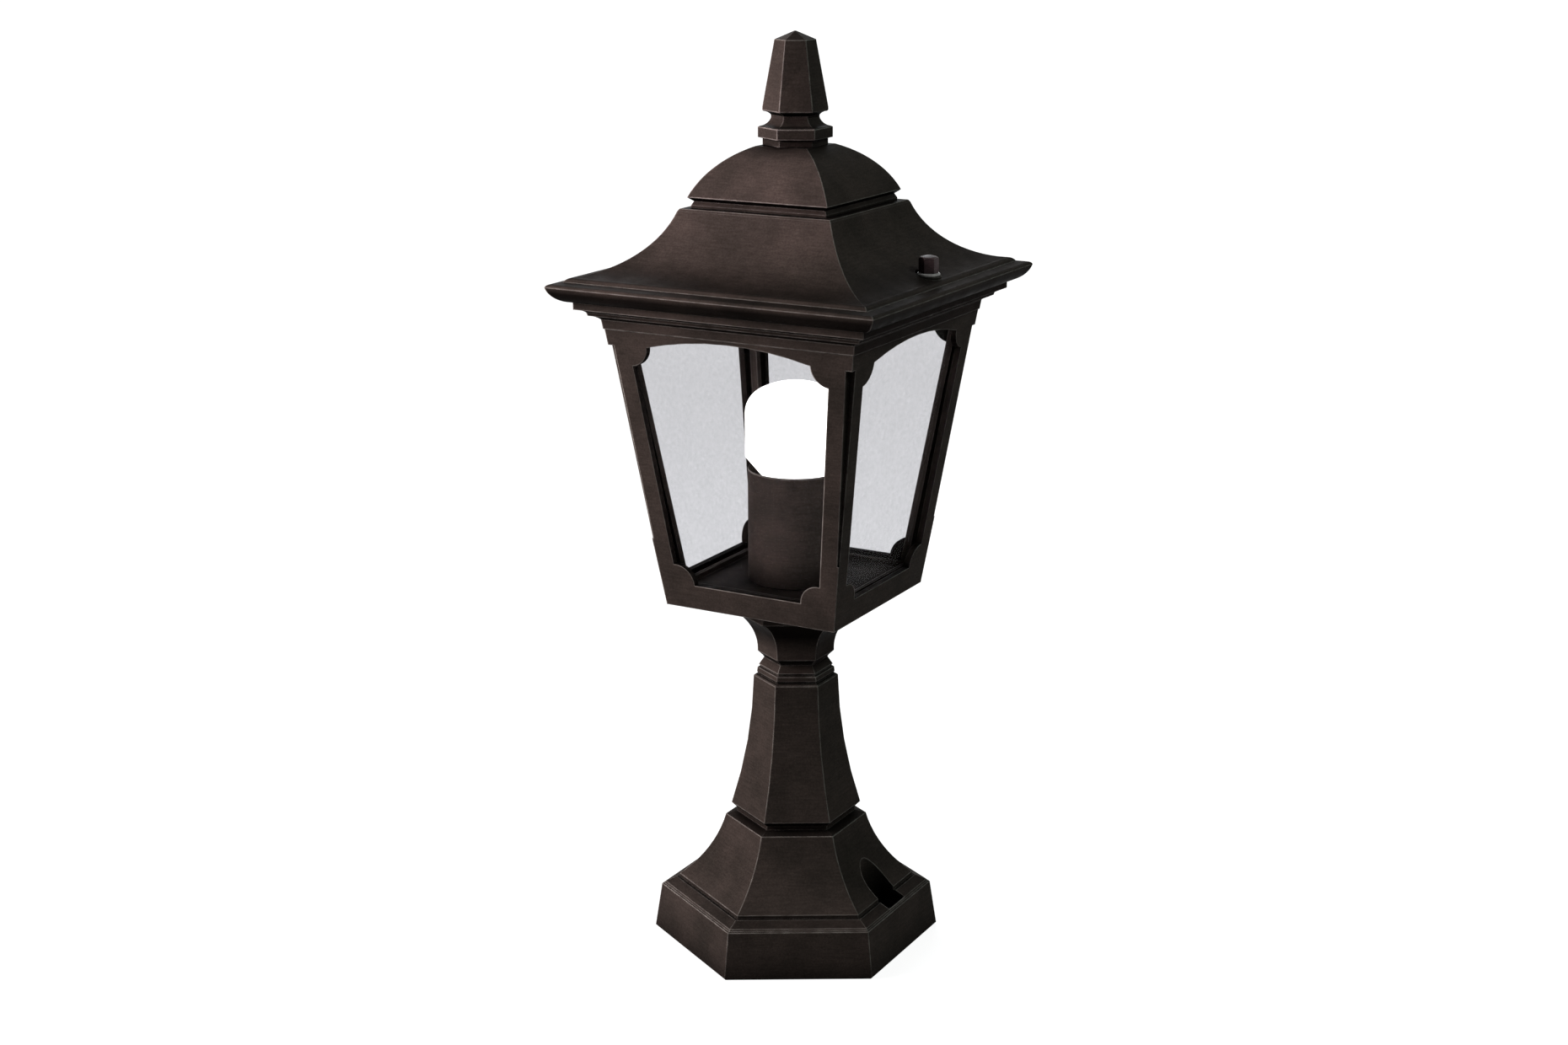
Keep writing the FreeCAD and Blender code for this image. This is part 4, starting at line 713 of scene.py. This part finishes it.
combine("UNION", head, *strips(FLOOR_TOP - OVERLAP, CHANNEL_TOP + OVERLAP, *WEB))
combine("UNION", head, *strips(FLOOR_TOP - OVERLAP, GLASS_TOP, *BAR))
corner_low, corner_top = head_half(REBATE_LOW), head_half(REBATE_TOP)
combine("DIFFERENCE", head,
        *corner_blocks(REBATE_LOW, REBATE_TOP, corner_low - REBATE_START, corner_low + REBATE_END,
                       corner_top - REBATE_END, corner_top + REBATE_END))
print("the rebate runs", REBATE_TOP - REBATE_LOW, "mm up each corner")

# %% The bead on the floor and the holes
BEAD_HIGH, BEAD_WIDE = 3.5, 2.5
STUD_AT, STUD_RADIUS, STUD_LOW, STUD_TOP = 87, 3, 402.4, 434.5
bead_half = head_half(FLOOR_TOP) - BAR[1]
bead = block((-bead_half, -bead_half, FLOOR_TOP - OVERLAP),
             (bead_half, bead_half, FLOOR_TOP + BEAD_HIGH))
bead_inner = bead_half - BEAD_WIDE
combine("DIFFERENCE", bead, block((-bead_inner, -bead_inner, 230), (bead_inner, bead_inner, 240)))
combine("UNION", head, bead)
combine("DIFFERENCE", head,
        *(post(STUD_RADIUS, STUD_LOW, 410, STUD_AT * side) for side in (1, -1)))
stand_for(tidy(head, coat), "lantern", "lantern_frame")

# %% [markdown]
# ## The roof
#
# The lower roof has a rounded eave, a rounded lip above it and a hollow sweep on each side, which
# meets its neighbours in hip lines. It bears on the cornice through a rubber strip in a groove.
# Each cap nut stands in a pocket that is milled into the slope, down to a level pad. The sweep
# could be sculpted, but it is a single arc in the section, so it comes out smooth and exactly alike
# on all four sides.

# %% The roof skirt
SKIRT = [(95, 408.9), (106, 418.3, 2.3, 1), (103.7, 420.0, 0.4, 1), (98.2, 420.9),
         (93.9, 423.2, 0.72, 1), (50.2, 459.2, 7.65, -1), (49.2, 460.5), (3, 460.5), (3, 456.5),
         (46.2, 456.5), (46.2, 454.5), (59.95, 435.3), (80, 422.8), (80, 408.9), (81.3, 408.9),
         (81.3, 410.4), (92.7, 410.4), (92.7, 408.9)]
PAD_LOW, PAD_Z = 417.1, 425.3
PAD_RADIUS, POCKET_RADIUS, STUD_HOLE = 7.5, 7.8, 3.5
skirt = carry_round("roof_skirt_casting", SQUARE, SKIRT)
for side in (1, -1):
    combine("UNION", skirt, post(PAD_RADIUS, PAD_LOW, PAD_Z + OVERLAP, STUD_AT * side))
for side in (1, -1):
    combine("DIFFERENCE", skirt, post(POCKET_RADIUS, PAD_Z, 470, STUD_AT * side),
            post(STUD_HOLE, 400, 430, STUD_AT * side))
stand_for(tidy(skirt, coat), "roof", "roof_skirt")

# %% The dome
DOME = [(44.4, 460.5), (44.4, 462.1), (43.1, 464.5), (45.4, 466.2), (46, 466.8), (17, 495, 4, 1),
        (3, 495), (3, 488.6), (17, 488.6), (29.8, 479.8), (39.1, 467.4), (39.1, 460.5)]
dome = carry_round("roof_dome_casting", SQUARE, DOME)
stand_for(tidy(dome, coat), "roof", "roof_dome")

# %% The finial
FINIAL = [(16.5, 495), (16.5, 498.8), (18.9, 499.4), (18.9, 505.4), (17.7, 506),
          (12.2, 511, 1.1, -1), (12.2, 512.2), (16, 514.4, 0.5, -1), (16.6, 515), (16.6, 516.8),
          (10.4, 555.2), (0.5, 560), (0, 560), (0, 519.5), (3, 519.5), (3, 495)]
finial = carry_round("finial_casting", HEX, FINIAL)
stand_for(tidy(finial, coat), "roof", "finial")

# %% [markdown]
# ## The cap nuts
#
# A cap nut is a hexagon whose corners are turned off in a lathe, with a low domed crown. Bevels
# on a hexagon don't give the curved lines that the lathe leaves on its flats. A hexagonal prism in
# common with a turned blank does. Its flange is a washer of dull steel.

# %% Cap nuts and their flanges
NUT_FLAT, NUT_CORNER, NUT_BORE = 5, 5.9, 3.2


def cap_nut(side, name):
    """A domed nut on its pad, and the flange under it."""
    place = (STUD_AT * side, 0, PAD_Z)
    prism = [(0, 1.6), (NUT_FLAT, 1.6), (NUT_FLAT, 12), (0, 12)]
    blank = [(0, 1.2), (NUT_CORNER, 1.2), (NUT_CORNER, 9.9), (4.7, 10.9), (0, 11.9, 0.12, 1)]
    hexagon = carry_round(f"cap_nut_{name}", HEX, prism, nut_coat, place)
    combine("INTERSECT", hexagon, carry_round("blank", ROUND, blank, nut_coat, place))
    combine("DIFFERENCE", hexagon, post(NUT_BORE, PAD_Z, PAD_Z + 9.4, STUD_AT * side))
    stand_for(tidy(hexagon, nut_coat), f"cap_nut_{name}", f"roof_nut_{name}")
    ring = [(NUT_BORE, 0), (6.5, 0), (6.8, 0.3), (6.8, 1.1), (6.1, 1.7), (NUT_BORE, 1.7)]
    flange = carry_round(f"cap_nut_flange_{name}", ROUND, ring, flange_steel, place)
    tidy(flange, flange_steel)
    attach(flange, f"cap_nut_{name}")


cap_nut(1, "right")
cap_nut(-1, "left")

# %% [markdown]
# ## Lamp and sleeve
#
# The bulb is blown glass on a turned cap, and the sleeve is a short tube that hides the
# lampholder. A Spin or a Screw modifier would turn them too. The tree that makes the castings does
# as well with ninety-six sides, which the crease angle leaves smooth.

# %% The bulb
SMOOTH_ROUND = 96
BULB = [(0, 286.1), (13.5, 286.1), (13.8, 286.4), (13.8, 288.6), (15.2, 290.8, 0.25, -1),
        (30.3, 309.1, 0.01, 1), (30.3, 335.1), (21.5, 349.4, 2.4, 1), (0, 354.5, 1.3, 1)]
bulb = carry_round("bulb", SMOOTH_ROUND, BULB, opal)
stand_for(tidy(bulb, opal), "lamp", "lamp_glass")

# %% The sleeve
SLEEVE = [(5.3, 232.5), (28.4, 232.5), (28.9, 233), (28.9, 301), (28.6, 301.5), (28.1, 301.5),
          (27.9, 301.2), (27.9, 233.5), (5.3, 233.5)]
sleeve = carry_round("sleeve", SMOOTH_ROUND, SLEEVE, sleeve_coat)
stand_for(tidy(sleeve, sleeve_coat), "lantern", "lamp_sleeve")

# %% [markdown]
# ## Screw threads
#
# The solids leave threads out. A bump would draw them, but only a real groove shows at the edge of
# a stud. So the same tree cuts them: heights a quarter of a pitch apart, and a groove that climbs
# one pitch in a turn. The lamp's cap has the coarse rounded thread of a screw lamp, and the tube
# and studs have fine metric ones.

# %% Threaded pieces


def threaded(name, body, node, finish, outside, low, high, pitch, groove, middle=0, bore=0,
             sides=32, steps=4):
    """A threaded rod or tube between two heights."""
    count = round((high - low) / pitch * steps)
    wall = [(outside, low + (high - low) * step / count) for step in range(count + 1)]
    corners = [(bore, low), *wall, (bore, high)]
    piece = carry_round(name, sides, corners, finish, (middle, 0, 0), pitch, groove,
                        max(bore, outside / 2))
    tidy(piece, finish)
    if node:
        stand_for(piece, body, node)
    return piece


METRIC = (1, 0.6)
LAMP_SCREW = (3.63, 1.1)
threaded("tie_tube_thread", "lantern", "tie_tube", zinc, 5, 62, 247.2, *METRIC, bore=3.9, sides=24)
threaded("finial_stud_thread", "roof", "finial_stud", zinc, 3, 447.9, 519, *METRIC)
threaded("lamp_cap_thread", "lamp", "lamp_cap", cap_metal, 13.1, 264.1, 286.1, *LAMP_SCREW,
         sides=SMOOTH_ROUND, steps=16)

# %% The roof's two studs in one piece
stud = (stainless, STUD_RADIUS, STUD_LOW, STUD_TOP, *METRIC)
stud_right = threaded("roof_studs_thread", None, None, *stud, STUD_AT)
stud_left = threaded("stud", None, None, *stud, -STUD_AT)
combine("UNION", stud_right, stud_left)
stand_for(tidy(stud_right, stainless), "lantern", "roof_studs")

# %% [markdown]
# ## Plain nuts
#
# A plain nut is the hexagon in common with a blank whose edges are turned off on both sides.
# Its sizes could be written down again, but then they could drift from the solid's. They are read
# from the box of the solid that the nut stands for.

# %% Nuts on the tube and on the finial's stud
CHAMFER_FACE, CHAMFER_CORNER, CHAMFER_DROP = 0.97, 1.16, 0.11


def plain_nut(body, node, bore):
    """A chamfered hexagon nut in the place of its solid."""
    low, high = (corner / MM for corner in map(Vector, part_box(node)))
    flat, base, top = high.x, low.z, high.z
    face, corner, drop = flat * CHAMFER_FACE, flat * CHAMFER_CORNER, flat * CHAMFER_DROP
    blank = [(0, base), (face, base), (corner, base + drop), (corner, top - drop), (face, top),
             (0, top)]
    prism = [(0, base), (flat, base), (flat, top), (0, top)]
    nut = carry_round(f"{node}_chamfered", HEX, prism, zinc)
    combine("INTERSECT", nut, carry_round("blank", ROUND, blank, zinc))
    combine("DIFFERENCE", nut, post(bore, base - 1, top + 1))
    stand_for(tidy(nut, zinc), body, node)


plain_nut("lantern", "foot_nut", 5)
plain_nut("lantern", "floor_nut", 5)
plain_nut("roof", "finial_nut", 3)

# %% [markdown]
# ## Small screws
#
# Eight small screws with round heads and a slot hold the glass clips, the terminals and the earth
# tag. Copies placed by hand would do for eight, but they are easy to get wrong when a clip moves.
# So the head is made once and a second tree sets a copy on every point it is given, turned so that
# it looks the way that the point's own arrow says.

# %% The tree that sets a screw on each point


def screw_tree():
    """Sets a copy of a screw on each point, along the point's aim."""
    tree = bpy.data.node_groups.new("screw_on_each_point", "GeometryNodeTree")
    given = input_sockets(tree, ("Places", "Geometry"), ("Screw", "Object"), ("Size", "Float"),
                          ("Finish", "Material"))
    screw = add(tree, "GeometryNodeObjectInfo", Object=given["Screw"]).outputs["Geometry"]
    aim = add(tree, "GeometryNodeInputNamedAttribute", {"data_type": "FLOAT_VECTOR"},
              Name="aim").outputs[0]
    turned = add(tree, "FunctionNodeAlignRotationToVector", {"axis": "Z"}, Vector=aim).outputs[0]
    copies = add(tree, "GeometryNodeInstanceOnPoints", Points=given["Places"], Instance=screw,
                 Rotation=turned, Scale=given["Size"]).outputs[0]
    close_tree(tree, copies, given["Finish"])
    return tree


SCREWS = screw_tree()
print("inputs:", [item.name for item in SCREWS.interface.items_tree if item.in_out == "INPUT"])

# %% The screw's head and the piece that holds its copies


def screw_head():
    """A pan head of 1 mm radius with a rounded top and a slot."""
    section = [(0, -0.2), (1, -0.2), (1, 0.3), (0.72, 0.62, 0.09, 1), (0, 0.74, 0.05, 1)]
    head = carry_round("screw_head", 24, section, zinc)
    return combine("DIFFERENCE", head, block((-1.2, -0.14, 0.32), (1.2, 0.14, 1)))


screw = screw_head()


def set_screws(name, radius, places, aims, finish):
    """One piece of several screws."""
    piece = new_piece(name, places)
    arrows = piece.data.attributes.new("aim", "FLOAT_VECTOR", "POINT")
    for slot, aim in zip(arrows.data, aims):
        slot.vector = aim
    run_tree(piece, SCREWS, Screw=screw, Size=radius, Finish=finish)
    tidy(piece, finish)
    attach(piece, "lantern")


# %% Screws of the clips, the terminals and the earth tag
CLIP_FACE, CLIP_OFFSET, CLIP_MIDDLE = 79.5, 24, 404.3
around = [Matrix.Rotation(math.radians(90 * turn), 3, "Z") for turn in range(4)]
clip_points = [turn @ Vector((CLIP_FACE, CLIP_OFFSET, CLIP_MIDDLE)) for turn in around]
set_screws("clip_screws", 2.4, clip_points, [turn @ Vector((-1, 0, 0)) for turn in around], zinc)
DOWN = Vector((0, 0, -1))
set_screws("terminal_screws", 1.8, [(x, 17.3, 62) for x in (-8, 0, 8)], [DOWN] * 3, brass)
set_screws("earth_screw", 2.8, [(0, -18, 74.2)], [DOWN], brass)
bpy.data.objects.remove(screw)

# %% [markdown]
# ## Dressing the other solids
#
# The panes, the clips, the lampholder and the other small parts keep the solid's own mesh, which
# is fine enough for them. Every node gets its one material here, also where a finer piece stands
# for it, so that nothing would be bare without that piece. The last line names any node that the
# list forgets.

# %% Materials for the solids that stay
FINISHES = {
    coat: ("foot", "column", "neck_cup", "lantern_frame", "roof_skirt", "roof_dome", "finial"),
    sleeve_coat: ("lamp_sleeve",),
    nut_coat: ("roof_nut_right", "roof_nut_left"),
    pane_glass: ("pane_front", "pane_right", "pane_back", "pane_left"),
    zinc: ("pane_clips", "finial_stud", "finial_washer", "finial_nut", "tie_tube", "foot_nut",
           "foot_washer", "floor_nut", "floor_washer"),
    stainless: ("roof_studs",),
    rubber: ("roof_gasket",),
    phenolic: ("lampholder_cap", "lampholder_skirt"),
    brass: ("screw_shell", "centre_contact", "earth_tag"),
    cap_metal: ("lamp_cap", "lamp_contact"),
    black_glass: ("lamp_insulator",),
    opal: ("lamp_glass",),
    white_nylon: ("terminal_block",),
}
for material, nodes in FINISHES.items():
    for node in nodes:
        dress(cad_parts[node], material)
undressed = set(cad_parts) - {node for nodes in FINISHES.values() for node in nodes}
print("undressed:", undressed or "none")

# %% [markdown]
# ## Floor and surround
#
# The floor runs out past the view and is nearly white, and the lantern stands in a white room. A
# room that bright would wash the dark coat out, though. Light Path tells what a ray is for: the
# camera, and anything glossy or clear, sees the white, while the light that falls on the lantern
# comes from a much dimmer sky and a few lamps.

# %% What the camera sees


def looked_at(tree):
    """One for rays that look, straight, off a gloss or through glass, and zero for light."""
    path = add(tree, "ShaderNodeLightPath").outputs
    seen = maths(tree, "MAXIMUM", path["Is Camera Ray"], path["Is Glossy Ray"])
    return maths(tree, "MAXIMUM", seen, path["Is Transmission Ray"])


# %% The floor
FLOOR_HALF = 20.0
FLOOR_GREY = (0.24, 0.24, 0.24, 1)
FLOOR_GLOW = 0.92
GLOW_FADE = (0.5, 2.5)


def white_floor():
    """A wide pale floor that keeps a soft shadow."""
    mesh = bpy.data.meshes.new("floor")
    corners = [(-FLOOR_HALF, -FLOOR_HALF, 0), (FLOOR_HALF, -FLOOR_HALF, 0),
               (FLOOR_HALF, FLOOR_HALF, 0), (-FLOOR_HALF, FLOOR_HALF, 0)]
    mesh.from_pydata(corners, [], [(0, 1, 2, 3)])
    floor = bpy.data.objects.new("floor", mesh)
    bpy.context.collection.objects.link(floor)
    material, tree, shader, place = start_material("floor")
    shader.inputs["Base Color"].default_value = FLOOR_GREY
    shader.inputs["Roughness"].default_value = 0.9
    seen = looked_at(tree)
    shader.inputs["Emission Color"].default_value = (1, 1, 1, 1)
    far = add(tree, "ShaderNodeVectorMath", {"operation": "LENGTH"}, at0=place).outputs["Value"]
    glow = remap(tree, far, *GLOW_FADE, FLOOR_GLOW, 1.0)
    tree.links.new(maths(tree, "MULTIPLY", seen, glow), shader.inputs["Emission Strength"])
    dress(floor, material)
    print("floor:", 2 * FLOOR_HALF, "m wide")


white_floor()

# %% The surround
SKY = 0.024
SKY_TONE = (0.86, 1.0, 0.94, 1)


def white_surround():
    """White wherever it is looked at, and a dimmer sky as a light."""
    world = bpy.data.worlds.new("surround")
    bpy.context.scene.world = world
    world.use_nodes = True
    tree = world.node_tree
    tree.nodes.clear()
    seen = looked_at(tree)
    strength = remap(tree, seen, 0.0, 1.0, SKY, 1.0)
    tone = mix_colours(tree, seen, SKY_TONE, (1, 1, 1, 1))
    sky = add(tree, "ShaderNodeBackground", Color=tone, Strength=strength)
    out = add(tree, "ShaderNodeOutputWorld")
    tree.links.new(sky.outputs[0], out.inputs["Surface"])
    print("the sky gives", SKY, "of the white that is seen")


white_surround()

# %% [markdown]
# ## The lamps
#
# A warm panel from the left models the faces on that side, and a small cool one from high on the
# right leaves the other side dark but readable. A third, behind, keeps the back from going black
# when the lantern is turned. Satin coat on a sloping roof wants more light than the upright faces
# do. A stronger panel would burn the faces out, so a spot with a soft edge picks out the roof
# alone. Each lamp is placed by its bearing and its rise, which are easier to judge than X, Y and Z.

# %% A lamp on a bearing


def stand_lamp(name, kind, bearing, rise, distance, target, watts, colour):
    """A lamp that faces a point, from a bearing and a rise in degrees."""
    turn, lift = math.radians(bearing), math.radians(rise)
    away = Vector((math.cos(lift) * math.cos(turn), math.cos(lift) * math.sin(turn),
                   math.sin(lift)))
    light = bpy.data.lights.new(name, kind)
    light.energy = watts
    light.color = colour
    lamp = bpy.data.objects.new(name, light)
    bpy.context.collection.objects.link(lamp)
    lamp.location = target + away * distance
    lamp.rotation_euler = (-away).to_track_quat("-Z", "Y").to_euler()
    print(name, "stands at", [round(v, 2) for v in lamp.location])
    return light


# %% Three soft panels
HEAD_MIDDLE = Vector((0, 0, 0.42))


def soft_panel(name, bearing, rise, distance, side, watts, colour):
    """A square panel that faces the middle of the head."""
    light = stand_lamp(name, "AREA", bearing, rise, distance, HEAD_MIDDLE, watts, colour)
    light.shape = "RECTANGLE"
    light.size = side
    light.size_y = side


soft_panel("key_panel", -141, 10, 0.95, 0.42, 10.4, (1.0, 0.93, 0.91))
soft_panel("side_panel", 4, 43, 2.0, 0.14, 6.6, (0.83, 1.0, 0.92))
soft_panel("back_panel", 124, 30, 1.2, 0.6, 7.0, (0.94, 0.97, 1.0))

# %% One spot on the roof
ROOF_MIDDLE = Vector((0, 0, 0.468))
SPOT_CONE = 8.5
spot = stand_lamp("roof_accent", "SPOT", -122, 15, 1.2, ROOF_MIDDLE, 62, (1.0, 0.82, 0.85))
spot.spot_size = math.radians(SPOT_CONE)
spot.spot_blend = 1.0
spot.shadow_soft_size = 0.06

# %% [markdown]
# ## The camera
#
# The picture was taken from a little above the eaves and to the right of the front, with a fairly
# long lens. Such a camera could be placed by eye, but its bearing, height, distance and focal
# length are worked out from the lantern's own corners, so every edge falls where it should. The
# lantern stands slightly right of the picture's middle, which the lens shift gives without turning
# the camera.

# %% The camera
PICTURE_WIDTH = 1860
AZIMUTH = math.radians(29.045)
ELEVATION = math.radians(15.592)
DISTANCE = 1.4081
AIM = Vector((0, 0, 0.2668))
FOCAL_PIXELS = 2747.7
ROLL = math.radians(-0.057)
SHIFT_PIXELS = 13.9

lens = bpy.data.cameras.new("camera")
camera = bpy.data.objects.new("camera", lens)
bpy.context.collection.objects.link(camera)
away = Vector((math.cos(ELEVATION) * math.sin(AZIMUTH), -math.cos(ELEVATION) * math.cos(AZIMUTH),
               math.sin(ELEVATION)))
camera.location = AIM + away * DISTANCE
camera.rotation_euler = (math.radians(90) - ELEVATION, 0, AZIMUTH)
camera.rotation_euler.rotate_axis("Z", ROLL)
lens.sensor_width = 36
lens.lens = FOCAL_PIXELS / PICTURE_WIDTH * lens.sensor_width
lens.shift_x = -SHIFT_PIXELS / PICTURE_WIDTH
lens.clip_start = 0.05
bpy.context.scene.camera = camera
bpy.context.scene.view_settings.view_transform = "Standard"
print("lens", round(lens.lens, 1), "mm")
